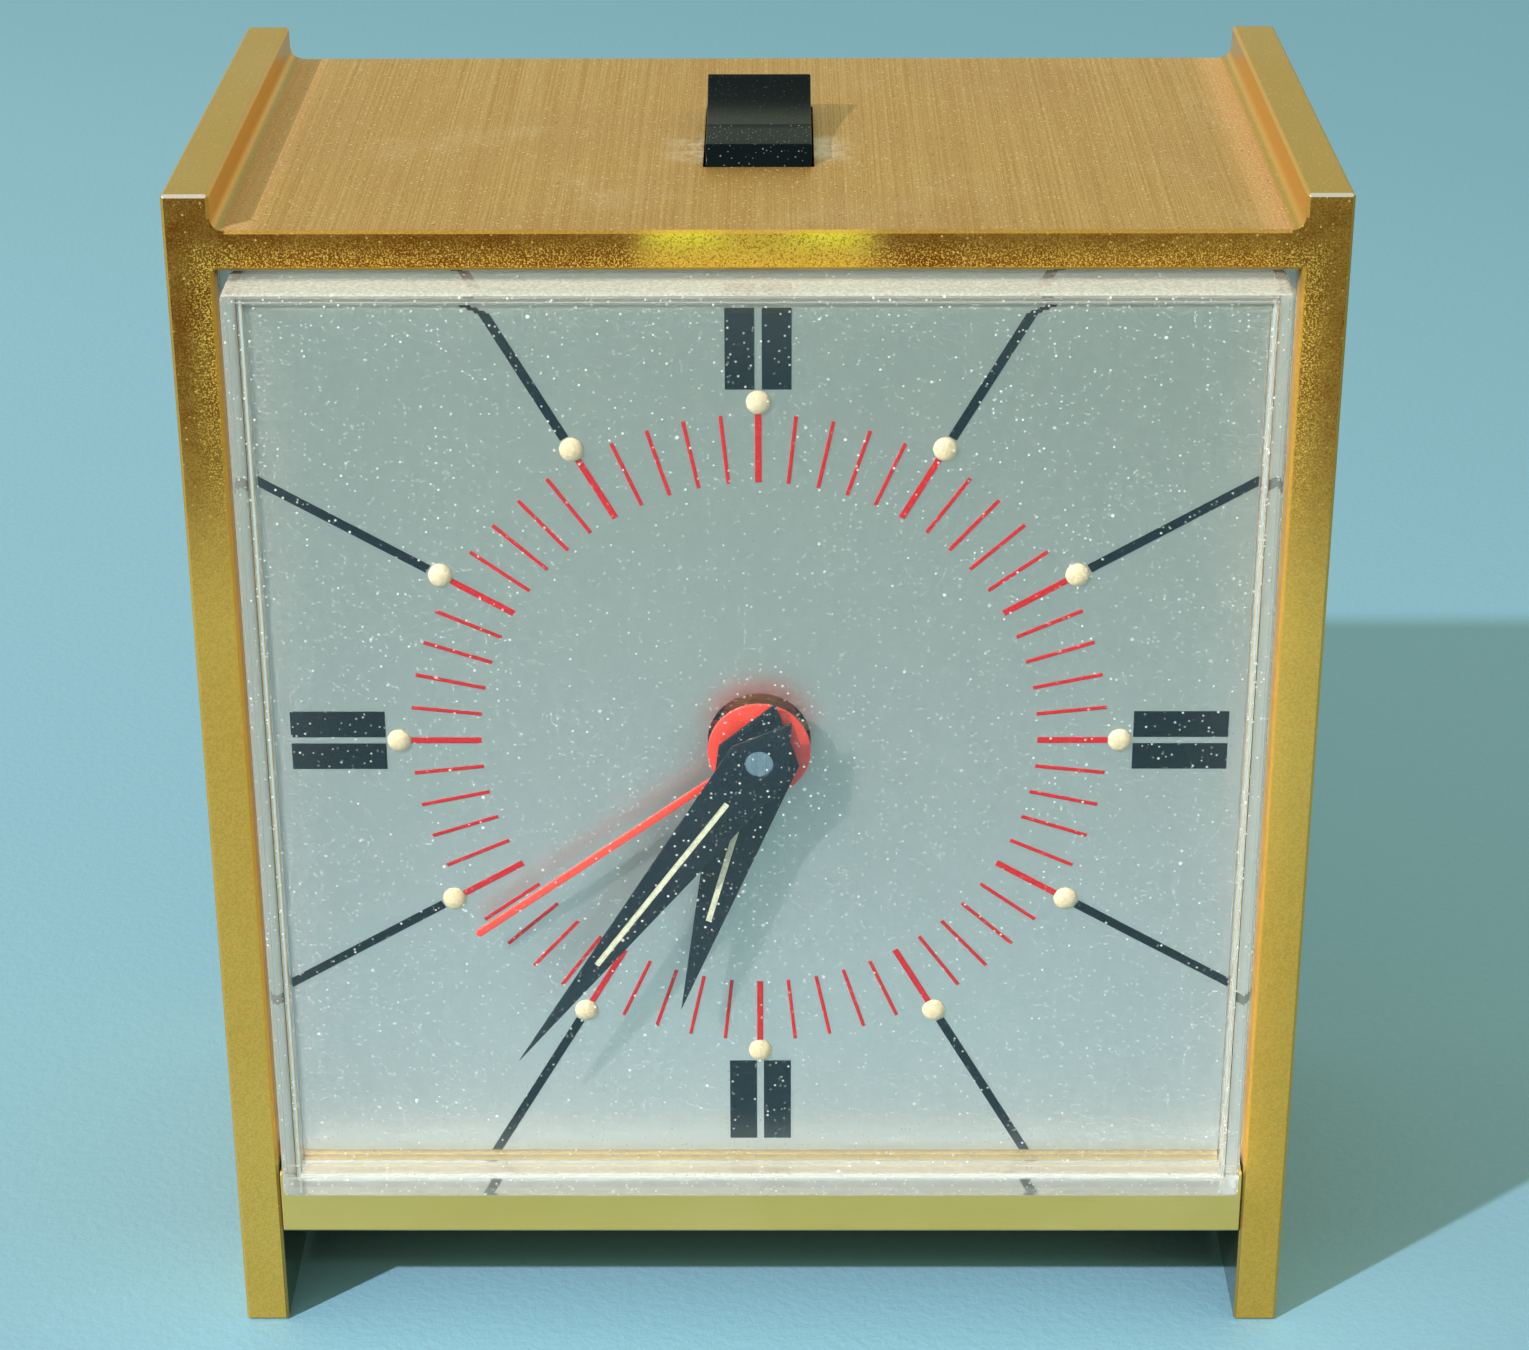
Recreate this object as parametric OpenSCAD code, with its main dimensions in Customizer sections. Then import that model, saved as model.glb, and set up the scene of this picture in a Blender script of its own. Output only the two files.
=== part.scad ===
// Free-standing electronic alarm clock: a gold case frame standing on its two side walls, a clear
// box-shaped crystal over a square dial, three hands, a rocker key in the top panel, and a balance
// movement, buzzer and battery in an inner case behind the dial.
// X runs to the right, Y from the front to the back and Z up from the surface that it stands on.
// Inside the modules, Y is measured back from the frame's front face.

/* [Case frame] */
// Overall width across the side walls
case_w = 92.3; // [86:0.1:98]
// Height from the feet to the top of the side rails
case_h = 105; // [100:0.1:110]
// Depth of the frame, front to back
case_d = 50; // [49:0.1:56]
// Thickness of each side wall
side_t = 3.75; // [3:0.05:4.5]
// Height of the side rails above the top panel
rail_h = 2.9; // [2:0.1:4]
// Thickness of the top panel
panel_t = 3.25; // [3:0.05:3.6]
// Radius of the fillet between a rail and the top panel
fillet_r = 1; // [0.5:0.1:1.8]
// Small bevel along the frame's long edges
edge_bevel = 0.25; // [0.1:0.05:0.4]

/* [Bottom plate] */
// Clear height under the bottom plate
foot_h = 9.45; // [8:0.05:12]
// Height of the bottom plate's front and back lips
lip_h = 6.2; // [5:0.1:7]
// Thickness of the bottom plate and of its lips
lip_t = 2.2; // [1.6:0.1:2.6]

/* [Crystal] */
// How far the crystal stands proud of the frame
crystal_proud = 4.5; // [3.6:0.1:5.5]
// Thickness of the crystal's front pane
pane_t = 1.8; // [1.2:0.1:2]
// Thickness of the crystal's side walls
crystal_wall = 1; // [0.8:0.1:1.5]
// Gap between the crystal and the side walls
crystal_side_gap = 1; // [0.6:0.05:1.2]
// Gap between the crystal and the panel above or the plate below
crystal_end_gap = 0.42; // [0.3:0.02:0.8]
// Thickness of the flange round the crystal's back edge
flange_t = 1; // [0.6:0.1:1.2]
// Radius of the crystal's upright corners
crystal_corner_r = 0.5; // [0.3:0.1:0.9]

/* [Dial] */
// Depth of the dial's face behind the frame's front
dial_depth = 2.4; // [2.2:0.05:2.8]
// Thickness of the dial plate
dial_t = 0.5; // [0.3:0.05:0.6]
// Radius of the hole in the middle of the dial
hub_hole_r = 4.3; // [4.1:0.05:4.6]
// Distance from the ring of luminous dots out to the nearest edge of the dial
dot_edge = 11.45; // [10.8:0.05:12]
// Diameter of a luminous dot
dot_d = 2; // [1.6:0.1:2.2]
// Height of a luminous dot
dot_h = 0.4; // [0.2:0.05:0.6]
// Length of a minute mark
tick_l = 5.85; // [4:0.05:8]
// Width of a minute mark
tick_w = 0.3; // [0.2:0.02:0.4]
// Width of a five-minute mark
five_tick_w = 0.52; // [0.42:0.02:0.7]
// Width of each bar of the double marks at 12, 3, 6 and 9
bar_w = 2.35; // [1.8:0.05:2.8]
// Gap between the two bars of a double mark
bar_gap = 0.6; // [0.4:0.05:0.9]
// Length of a double mark
bar_l = 7.9; // [6:0.1:8.4]
// Width of the long hour lines
line_w = 0.77; // [0.5:0.01:1]
// Thickness of the printed ink
ink_t = 0.05; // [0.03:0.01:0.08]

/* [Hands] */
// Thickness of the hands
hand_t = 0.3; // [0.2:0.05:0.35]
// Length of the hour hand from the centre to its tip
hour_l = 25.2; // [20:0.1:28]
// Length of the hour hand's tail
hour_tail = 4.9; // [4:0.1:6]
// Half of the hour hand's greatest width
hour_half = 3.45; // [3:0.05:4]
// Length of the minute hand from the centre to its tip
minute_l = 35.1; // [30:0.1:37]
// Length of the minute hand's tail
minute_tail = 4.6; // [4:0.1:6]
// Half of the minute hand's greatest width
minute_half = 2.75; // [2.5:0.05:3.5]
// Width of the luminous slits in both hands
slit_w = 0.5; // [0.3:0.05:0.7]
// Length of the alarm pointer from the centre to its tip
alarm_l = 29.7; // [25:0.1:31]
// Width of the alarm pointer
alarm_w = 0.65; // [0.4:0.05:0.9]
// Radius of the alarm hand's disc
disc_r = 4.27; // [3.8:0.01:4.6]
// Angle of the hour hand, clockwise from twelve
hour_angle = 195.5; // [0:0.5:359.5]
// Angle of the minute hand, clockwise from twelve
minute_angle = 216; // [0:0.5:359.5]
// Angle of the alarm hand, clockwise from twelve
alarm_angle = 234; // [0:0.5:359.5]

/* [Rocker key] */
// Width of the key
key_w = 8.7; // [7:0.1:10]
// Radius of the key's rounded ends about its pivot
key_r = 9.85; // [9:0.05:10.2]
// Depth of the key's pivot below the top of the panel
key_drop = 4.4; // [4.3:0.05:4.8]
// Angle of each end ridge from the key's middle line
key_ridge_a = 43; // [42:0.1:50]
// Height of the key's hollow above its pivot
key_valley = 6.5; // [6:0.05:6.8]
// Distance of the hollow's crease in front of the pivot
key_crease = 2.5; // [1:0.1:3.5]
// How far the slope behind the crease sinks below a straight line
key_sag = 0.35; // [0.1:0.05:0.5]
// Tilt of the key each side of level
key_tilt = 9.4; // [6:0.1:11]
// Gap between the key and the slot
key_gap = 0.2; // [0.15:0.05:0.4]
// Radius of the key's pivot pin
key_pin_r = 0.75; // [0.6:0.05:0.9]

/* [Inner case] */
// Thickness of the inner case's walls
shell_t = 1.6; // [1.2:0.1:2]
// Depth of the rear cover's outer face in front of the frame's back edge
cover_recess = 5; // [4.5:0.1:5.6]
// Thickness of the rear cover
cover_t = 2; // [1.6:0.1:2.4]

/* [Movement] */
// Thickness of the movement's two plates
plate_t = 1.2; // [0.8:0.1:1.4]
// Width of the movement's plates
plate_w = 56; // [54:0.5:60]
// Distance between the two plates
plate_gap = 11.8; // [11.8:0.1:12.4]
// Radius of the train's arbors
arbor_r = 0.6; // [0.5:0.05:0.7]
// Radius of the minute arbor where the hands sit
minute_arbor_r = 1.17; // [1.1:0.01:1.25]
// Wall of the hour and alarm pipes
pipe_wall = 0.55; // [0.45:0.05:0.6]
// Radius of the balance discs
balance_r = 9.5; // [8.5:0.1:10]

/* [Battery] */
// Diameter of the battery
battery_d = 26; // [25:0.1:26.2]
// Length of the battery with its cap
battery_l = 50; // [49:0.1:50.5]

/* [Knobs] */
// Diameter of the two setting knobs
knob_d = 12; // [10:0.5:13]
// Height of the setting knobs
knob_h = 4; // [3:0.1:4.2]
// Radius of the setting shafts
shaft_r = 1.2; // [1:0.05:1.4]

/* [Fits] */
// Radial clearance of a turning fit
running = 0.05; // [0.03:0.01:0.08]
// Clearance round a piece that is slipped into place
slip = 0.15; // [0.1:0.01:0.25]

/* [Hidden] */

$fn = 48;
eps = 0.01;

// Heights and half-widths of the frame's opening
half_w = case_w / 2;
inner_half = half_w - side_t;
panel_top = case_h - rail_h;
panel_under = panel_top - panel_t;
plate_top = foot_h + lip_h;
axis_z = (panel_under + plate_top) / 2;

// Outlines of the crystal and of the dial with the inner case behind it
crystal_half = inner_half - crystal_side_gap;
crystal_low = plate_top + crystal_end_gap;
crystal_high = panel_under - crystal_end_gap;
ink_clear = 0.05;
crystal_back = dial_depth - ink_t - ink_clear;
shell_half = inner_half - slip;
shell_low = plate_top + slip;
shell_high = panel_under - slip;

// The dial's rings keep their distance from its nearer edges
dot_ring_r = min(shell_half, (shell_high - shell_low) / 2) - dot_edge;
mark_clear = 0.1;
tick_out = dot_ring_r - dot_d / 2;
tick_in = tick_out - tick_l;
bar_in = dot_ring_r + dot_d / 2 + mark_clear;

// The whole part is centred front to back on its own bounding box
y_mid = (case_d - crystal_proud) / 2;

// Depth stations behind the frame's front face
pane_back = pane_t - crystal_proud;
dial_back = dial_depth + dial_t;
shell_front = dial_back;
shell_face_back = shell_front + shell_t;
cover_back = case_d - cover_recess;
cover_front = cover_back - cover_t;

// Motion work, from the dial backwards
disc_front = dial_depth - 2.1;
hour_front = dial_depth - 3.0;
minute_front = dial_depth - 4.6;
alarm_wheel_y = shell_face_back + 0.7;
hour_wheel_y = alarm_wheel_y + 1.8;
cannon_y = hour_wheel_y + 1.6;
wheel_t = 1;
front_plate_y = cannon_y + 2.4;
train_y = front_plate_y + plate_t;
back_plate_y = train_y + plate_gap;
back_plate_end = back_plate_y + plate_t;

// Radii of the nested pipes
hour_bore = minute_arbor_r + running;
hour_pipe_r = hour_bore + pipe_wall;
alarm_bore = hour_pipe_r + running;
alarm_pipe_r = alarm_bore + pipe_wall;

// Gears: module and teeth
m_cannon = 0.5;
n_cannon = 12;
n_minute = 36;
n_minute_pinion = 10;
n_hour = 40;
m_alarm = 0.5;
n_alarm = 48;
n_set = 12;
m_centre = 0.4;
n_centre = 50;
n_third_pinion = 8;
m_third = 0.33;
n_third = 60;
n_fourth_pinion = 10;
m_fourth = 0.28;
n_fourth = 64;
n_index_pinion = 8;
n_index = 30;

// Centre distances and the directions, in degrees from +X towards +Z, between the arbors
d_minute = m_cannon * (n_cannon + n_minute) / 2;
m_hour = 2 * d_minute / (n_minute_pinion + n_hour);
d_set = m_cannon * (n_minute + n_set) / 2;
d_alarm = m_alarm * (n_alarm + n_set) / 2;
d_third = m_centre * (n_centre + n_third_pinion) / 2;
d_fourth = m_third * (n_third + n_fourth_pinion) / 2;
d_index = m_fourth * (n_fourth + n_index_pinion) / 2;
a_minute = 150;
a_set = 180;
a_alarm = -10;
a_third = 135;
a_fourth = 65;
a_index = -5;
a_balance = -10;

function toward(from, d, a) = [from[0] + d * cos(a), from[1] + d * sin(a)];
centre_at = [0, axis_z];
minute_at = toward(centre_at, d_minute, a_minute);
set_at = toward(minute_at, d_set, a_set);
alarm_at = toward(centre_at, d_alarm, a_alarm);
third_at = toward(centre_at, d_third, a_third);
fourth_at = toward(third_at, d_fourth, a_fourth);
index_at = toward(fourth_at, d_index, a_index);
index_r = 4.6;
pin_r = 0.35;
roller_r = 1.9;
index_clear = 0.15;
d_balance = index_r + index_clear + roller_r;
balance_at = toward(index_at, d_balance, a_balance);

// Turns each gear so that it is in mesh with the one before it
function in_mesh(a, turn, n1, n2) = a + 180 + (a - turn) * n1 / n2 - 180 / n2;
t_cannon = 0;
t_minute = in_mesh(a_minute, t_cannon, n_cannon, n_minute);
t_hour = in_mesh(a_minute + 180, 0, n_minute_pinion, n_hour);
t_set = in_mesh(a_set, t_minute, n_minute, n_set);
t_alarm_set = in_mesh(a_alarm, 0, n_alarm, n_set);
t_third_pinion = in_mesh(a_third, 0, n_centre, n_third_pinion);
t_fourth_pinion = in_mesh(a_fourth, 0, n_third, n_fourth_pinion);
t_index_pinion = in_mesh(a_index, 0, n_fourth, n_index_pinion);

// Balance assembly, behind the back plate
disc_t = 0.8;
disc_one_y = back_plate_end + 1.2;
magnet_t = 1;
magnet_r = 1.8;
magnet_ring_r = 7;
coil_t = 1.6;
air_gap = 0.3;
coil_y = disc_one_y + disc_t + magnet_t + air_gap;
disc_two_y = coil_y + coil_t + air_gap + magnet_t;
hairspring_y = disc_two_y + disc_t + 0.6;
hairspring_t = 0.6;
cock_y = hairspring_y + hairspring_t + 0.8;
cock_t = 1.2;
lever_t = 0.6;
board_t = coil_y - disc_one_y - 0.4;
board_y = coil_y - board_t;

// Battery bay
battery_y = cover_front - 0.4 - battery_d / 2;
battery_z = plate_top + slip + shell_t + 0.3 + battery_d / 2;
bay_half = battery_l / 2 + 2;
contact_t = 0.5;

// Rocker key
key_y = case_d / 2 + 0.5;
key_z = panel_top - key_drop;
key_tail_r = 5;
key_tail_gap = 0.7;
carrier_base_t = 1.5;
carrier_under = key_z - key_tail_r - key_tail_gap;

// The movement's plates fill the height between the battery and the key's carrier
plates_over_battery = 3.05;
plates_under_key = 2.25;
plates_low = battery_z + battery_d / 2 + plates_over_battery;
plates_high = carrier_under - carrier_base_t - plates_under_key;

// Moves the modules' own Y to the part's frame
module placed() {
    translate([0, -y_mid, 0]) children();
}

// Extrudes a drawing in X and Z from depth y0 back to depth y1
module along_y(y0, y1) {
    translate([0, y1, 0]) rotate([90, 0, 0]) linear_extrude(y1 - y0) children();
}

// Extrudes a drawing in Y and Z across the middle of the clock, to a given width
module across_x(w) {
    rotate([90, 0, 90]) translate([0, 0, -w / 2]) linear_extrude(w) children();
}

module rod(at, r, y0, y1) {
    translate([at[0], y1, at[1]]) rotate([90, 0, 0]) cylinder(r = r, h = y1 - y0);
}

module frame_rect(x0, x1, z0, z1) {
    translate([x0, z0]) square([x1 - x0, z1 - z0]);
}

module round_rect(x0, x1, z0, z1, r) {
    union() {
        frame_rect(x0 + r, x1 - r, z0, z1);
        frame_rect(x0, x1, z0 + r, z1 - r);
        for (x = [x0 + r, x1 - r], z = [z0 + r, z1 - r]) translate([x, z]) circle(r = r, $fn = 24);
    }
}

// One tooth has six corners: root, pitch and tip on both flanks
function tooth(i, n, m, turn) =
    let (p = 360 / n, r = n * m / 2, a = turn + i * p)
    [for (c = [[-0.29, -1.15], [-0.19, 0], [-0.07, 0.8], [0.07, 0.8], [0.19, 0], [0.29, -1.15]])
        let (b = a + c[0] * p, q = r + c[1] * m) [q * cos(b), q * sin(b)]];
function gear_outline(n, m, turn) = [for (i = [0 : n - 1]) each tooth(i, n, m, turn)];

module gear(at, n, m, turn, y0, y1) {
    translate([at[0], 0, at[1]]) along_y(y0, y1) polygon(gear_outline(n, m, turn));
}

// A spoked wheel: a toothed rim joined to a hub by four arms
module spoked_wheel(at, n, m, turn, y0, y1, hub_r) {
    rim_in = n * m / 2 - 1.15 * m - 1.1;
    arm_w = 1;
    difference() {
        gear(at, n, m, turn, y0, y1);
        translate([at[0], 0, at[1]]) along_y(y0 - 1, y1 + 1) difference() {
            circle(r = rim_in);
            circle(r = hub_r + 1);
            for (a = [0, 90]) rotate(a) square([4 * rim_in, arm_w], center = true);
        }
    }
}

module bore(at, r, y0, y1) {
    rod(at, r, y0 - 1, y1 + 1);
}

// Outline of one side of a lozenge hand, its tip along +X
module lozenge(tip, tail, half) {
    polygon([[-tail, 0], [0, half], [tip, 0], [0, -half]]);
}

// Turns a drawing whose tip is along +X to a clock angle about the dial's centre
module at_clock(a) {
    translate([0, axis_z]) rotate(90 - a) children();
}

// Stations along the hands of the luminous slits, from the centre
hour_slit = [5.5, 16.2];
minute_slit = [4.5, 23.4];

// Cuts a small bevel: a square bar on its corner, along the given axis
module bevel_bar(at, along, l) {
    side = edge_bevel * sqrt(2);
    turn = along == "x" ? [45, 0, 0] : along == "y" ? [0, 45, 0] : [0, 0, 45];
    size = along == "x" ? [l, side, side] : along == "y" ? [side, l, side] : [side, side, l];
    translate(at) rotate(turn) cube(size, center = true);
}

module frame_profile() {
    difference() {
        frame_rect(-half_w, half_w, 0, case_h);
        frame_rect(-inner_half, inner_half, -1, panel_under);
        difference() {
            frame_rect(-inner_half, inner_half, panel_top, case_h + 1);
            for (s = [-1, 1]) difference() {
                translate([s * (inner_half - fillet_r / 2), panel_top + fillet_r / 2])
                    square(fillet_r + eps, center = true);
                translate([s * (inner_half - fillet_r), panel_top + fillet_r]) circle(r = fillet_r);
            }
        }
    }
}

frame_screw_x = 30;
screw_r = 1.25;
screw_head_r = 2.3;
screw_head_t = 1.3;
screw_bite = 2.2;

module key_slot() {
    translate([0, key_y, key_z]) rotate([0, 90, 0])
        cylinder(r = key_r + running, h = key_w + 2 * key_gap, center = true, $fn = 96);
}

module case_frame() {
    color("goldenrod") placed() difference() {
        along_y(0, case_d) frame_profile();
        key_slot();
        for (s = [-1, 1]) {
            translate([s * frame_screw_x, case_d / 2, panel_under - 1])
                cylinder(r = screw_r + running, h = 1 + screw_bite + running);
            bevel_bar([s * half_w, case_d / 2, case_h], "y", case_d + 2);
            bevel_bar([s * inner_half, case_d / 2, case_h], "y", case_d + 2);
            bevel_bar([s * half_w, case_d / 2, 0], "y", case_d + 2);
            bevel_bar([s * inner_half, case_d / 2, 0], "y", case_d + 2);
        }
        for (y = [0, case_d]) {
            for (s = [-1, 1]) {
                bevel_bar([s * half_w, y, case_h / 2], "z", case_h + 2);
                bevel_bar([s * inner_half, y, panel_under / 2], "z", panel_under);
                bevel_bar([s * inner_half, y, (panel_top + fillet_r + case_h + 1) / 2], "z",
                          rail_h - fillet_r + 1);
                bevel_bar([s * (inner_half + side_t / 2), y, case_h], "x", side_t);
                bevel_bar([s * (inner_half + side_t / 2), y, 0], "x", side_t);
            }
            bevel_bar([0, y, panel_under], "x", 2 * inner_half);
            bevel_bar([0, y, panel_top], "x", 2 * (inner_half - fillet_r));
        }
    }
}

base_screw_x = 34;
plate_play = 0.1;

module bottom_plate() {
    color("goldenrod") placed() difference() {
        across_x(2 * (inner_half - plate_play)) difference() {
            frame_rect(0, case_d, foot_h, plate_top);
            frame_rect(lip_t, case_d - lip_t, foot_h - 1, plate_top - lip_t);
        }
        for (s = [-1, 1]) translate([s * base_screw_x, case_d / 2, foot_h])
            cylinder(r = screw_r + running, h = lip_h + 1);
        for (z = [foot_h, plate_top]) bevel_bar([0, 0, z], "x", case_w);
        bevel_bar([0, case_d, foot_h], "x", case_w);
    }
}

module crystal() {
    color([0.85, 0.93, 0.95, 0.4]) placed() difference() {
        union() {
            along_y(-crystal_proud, crystal_back)
                round_rect(-crystal_half, crystal_half, crystal_low, crystal_high, crystal_corner_r);
            along_y(crystal_back - flange_t, crystal_back)
                frame_rect(-shell_half, shell_half, shell_low, shell_high);
        }
        along_y(pane_back, crystal_back + 1)
            frame_rect(-crystal_half + crystal_wall, crystal_half - crystal_wall,
                       crystal_low + crystal_wall, crystal_high - crystal_wall);
        for (s = [-1, 1]) bevel_bar([s * crystal_half, -crystal_proud, axis_z], "z", case_h);
        for (z = [crystal_low, crystal_high]) bevel_bar([0, -crystal_proud, z], "x", case_w);
    }
}

module dial() {
    color([0.68, 0.75, 0.75]) placed() along_y(dial_depth, dial_back) difference() {
        frame_rect(-shell_half, shell_half, shell_low, shell_high);
        translate([0, axis_z]) circle(r = hub_hole_r);
    }
}

module on_dial(t) {
    placed() along_y(dial_depth - t, dial_depth) children();
}

module dial_print_black() {
    color([0.06, 0.1, 0.11]) on_dial(ink_t) {
        for (a = [0, 90, 180, 270], s = [0, 1]) at_clock(a) mirror([0, s])
            translate([bar_in, bar_gap / 2]) square([bar_l, bar_w]);
        intersection() {
            frame_rect(-shell_half, shell_half, shell_low, shell_high);
            for (a = [30 : 30 : 330]) if (a % 90 != 0) at_clock(a)
                translate([bar_in, -line_w / 2]) square([case_w, line_w]);
        }
    }
}

module dial_print_red() {
    color([0.82, 0.16, 0.14]) on_dial(ink_t) for (i = [0 : 59]) {
        w = i % 5 == 0 ? five_tick_w : tick_w;
        at_clock(6 * i) translate([tick_in, -w / 2]) square([tick_out - tick_in, w]);
    }
}

module lume_dots() {
    color([0.93, 0.88, 0.68]) placed() for (a = [0 : 30 : 330])
        translate([dot_ring_r * sin(a), dial_depth, axis_z + dot_ring_r * cos(a)]) rotate([90, 0, 0])
            rotate_extrude($fn = 24) polygon([[0, 0], [dot_d / 2, 0], [dot_d / 2, dot_h / 2],
                                              [dot_d * 0.4, dot_h * 0.9], [dot_d * 0.2, dot_h], [0, dot_h]]);
}

module alarm_hand() {
    color([0.98, 0.28, 0.18]) placed() along_y(disc_front, disc_front + hand_t) at_clock(alarm_angle) {
        difference() {
            union() {
                circle(r = disc_r, $fn = 64);
                translate([disc_r - 1, -alarm_w / 2]) square([alarm_l - alarm_w / 2 - disc_r + 1, alarm_w]);
                translate([alarm_l - alarm_w / 2, 0]) circle(r = alarm_w / 2, $fn = 24);
            }
            circle(r = alarm_pipe_r);
        }
    }
}

module slit(span) {
    translate([span[0], -slit_w / 2]) square([span[1] - span[0], slit_w]);
}

module hour_hand() {
    color([0.05, 0.06, 0.07]) placed() along_y(hour_front, hour_front + hand_t) at_clock(hour_angle)
        difference() {
            lozenge(hour_l, hour_tail, hour_half);
            circle(r = hour_pipe_r);
            slit(hour_slit);
        }
}

module hour_hand_lume() {
    color([0.8, 0.8, 0.66]) placed() along_y(hour_front + lume_sink, hour_front + hand_t)
        at_clock(hour_angle) slit(hour_slit);
}

module minute_hand() {
    color([0.05, 0.06, 0.07]) placed() along_y(minute_front, minute_front + hand_t) at_clock(minute_angle)
        difference() {
            lozenge(minute_l, minute_tail, minute_half);
            circle(r = minute_arbor_r);
            slit(minute_slit);
        }
}

module minute_hand_lume() {
    color([0.8, 0.8, 0.66]) placed() along_y(minute_front + lume_sink, minute_front + hand_t)
        at_clock(minute_angle) slit(minute_slit);
}

lume_sink = 0.05;
collet_r = 1.9;
collet_t = 0.6;
arbor_sink = 0.15;
rear_arbor_r = 0.8;
cannon_t = 1.6;
centre_wheel_y = train_y + 0.9;
third_wheel_y = centre_wheel_y + 3.4;
fourth_wheel_y = third_wheel_y + 2.6;
index_wheel_y = fourth_wheel_y + 2.9;
pinion_over = 0.3;
end_collar_r = 1.5;

module minute_arbor() {
    color("silver") placed() {
        rod(centre_at, minute_arbor_r, minute_front + arbor_sink, cannon_y + eps);
        rod(centre_at, collet_r, minute_front + hand_t, minute_front + hand_t + collet_t);
        gear(centre_at, n_cannon, m_cannon, t_cannon, cannon_y, cannon_y + cannon_t);
        rod(centre_at, rear_arbor_r, cannon_y + cannon_t - eps, centre_wheel_y + wheel_t + 0.9);
        rod(centre_at, end_collar_r, centre_wheel_y + wheel_t + 0.2, centre_wheel_y + wheel_t + 0.9);
    }
}

module hour_wheel() {
    color("darkkhaki") placed() difference() {
        union() {
            spoked_wheel(centre_at, n_hour, m_hour, t_hour, hour_wheel_y, hour_wheel_y + wheel_t, hour_pipe_r);
            rod(centre_at, hour_pipe_r, hour_front, hour_wheel_y + wheel_t / 2);
        }
        bore(centre_at, hour_bore, hour_front, hour_wheel_y + wheel_t);
    }
}

module alarm_wheel() {
    color("darkkhaki") placed() difference() {
        union() {
            spoked_wheel(centre_at, n_alarm, m_alarm, 0, alarm_wheel_y, alarm_wheel_y + wheel_t, alarm_pipe_r);
            rod(centre_at, alarm_pipe_r, disc_front, alarm_wheel_y + wheel_t / 2);
        }
        bore(centre_at, alarm_bore, disc_front, alarm_wheel_y + wheel_t);
    }
}

stud_r = 0.7;

module minute_wheel() {
    color("darkkhaki") placed() difference() {
        union() {
            spoked_wheel(minute_at, n_minute, m_cannon, t_minute, cannon_y, cannon_y + wheel_t, 2);
            gear(minute_at, n_minute_pinion, m_hour, 0, hour_wheel_y - pinion_over, cannon_y + eps);
        }
        bore(minute_at, stud_r + running, hour_wheel_y - pinion_over, cannon_y + wheel_t);
    }
}

knob_gap = 0.3;
knob_y = cover_back + knob_gap;
knob_seat = 3;
set_pinion_t = 1.6;
shaft_end = knob_y + knob_seat;

module set_shaft(at, n, m, turn, y0) {
    color("darkkhaki") placed() {
        gear(at, n, m, turn, y0, y0 + set_pinion_t);
        rod(at, shaft_r, y0 - 0.2, shaft_end);
    }
}

module time_set_shaft() {
    set_shaft(set_at, n_set, m_cannon, t_set, cannon_y - pinion_over);
}

module alarm_set_shaft() {
    set_shaft(alarm_at, n_set, m_alarm, t_alarm_set, alarm_wheel_y - pinion_over);
}

knob_flutes = 24;
flute_depth = 0.35;

module knob(at) {
    outline = [for (i = [0 : 2 * knob_flutes - 1])
        let (r = knob_d / 2 - (i % 2) * flute_depth, a = i * 180 / knob_flutes) [r * cos(a), r * sin(a)]];
    color([0.08, 0.08, 0.09]) placed() difference() {
        union() {
            translate([at[0], 0, at[1]]) along_y(knob_y, knob_y + knob_h - 0.6) polygon(outline);
            rod(at, knob_d / 2 - 0.9, knob_y, knob_y + knob_h);
        }
        rod(at, shaft_r, knob_y - 1, shaft_end);
        translate([at[0], knob_y + knob_h, at[1]]) cube([knob_d - 4, 1.2, 1.2], center = true);
    }
}

module time_set_knob() {
    knob(set_at);
}

module alarm_set_knob() {
    knob(alarm_at);
}

// The pillars stand in the corners of the movement's plates
pillar_in = 3;
pillar_x = plate_w / 2 - pillar_in;
pillar_at = [for (x = [-pillar_x, pillar_x], z = [plates_low + pillar_in, plates_high - pillar_in]) [x, z]];
pillar_r = 2.5;
long_screw_r = 1.1;
long_screw_end = shell_face_back + 2;

module plate_outline() {
    round_rect(-plate_w / 2, plate_w / 2, plates_low, plates_high, 2);
}

module through(at, r) {
    translate(at) circle(r = r, $fn = 32);
}

module front_plate() {
    color("gold") placed() {
        along_y(front_plate_y, train_y) difference() {
            plate_outline();
            through(centre_at, rear_arbor_r + running);
            for (p = [third_at, fourth_at, index_at, balance_at]) through(p, arbor_r + running);
            for (p = [set_at, alarm_at]) through(p, shaft_r + running);
            for (p = pillar_at) through(p, long_screw_r + running);
        }
        rod(minute_at, stud_r, hour_wheel_y - pinion_over - 0.3, front_plate_y + eps);
    }
}

staff_hole_r = 1.6;
board_in = 2;
board_over_shaft = 2.55;
board_under_edge = 1.25;
board_clear = 0.5;
board_left = board_in - plate_w / 2;
board_low = set_at[1] + shaft_r + board_over_shaft;
board_high = plates_high - board_under_edge;
board_right = balance_at[0] - balance_r - board_clear;
spacer_in = 3;
spacer_past_screw = 8;
spacer_at = [[board_left + spacer_in, board_low + spacer_in],
             [board_left + spacer_past_screw, board_high - spacer_in],
             [board_right - spacer_in, board_high - spacer_in]];
spacer_r = 1.8;

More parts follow.
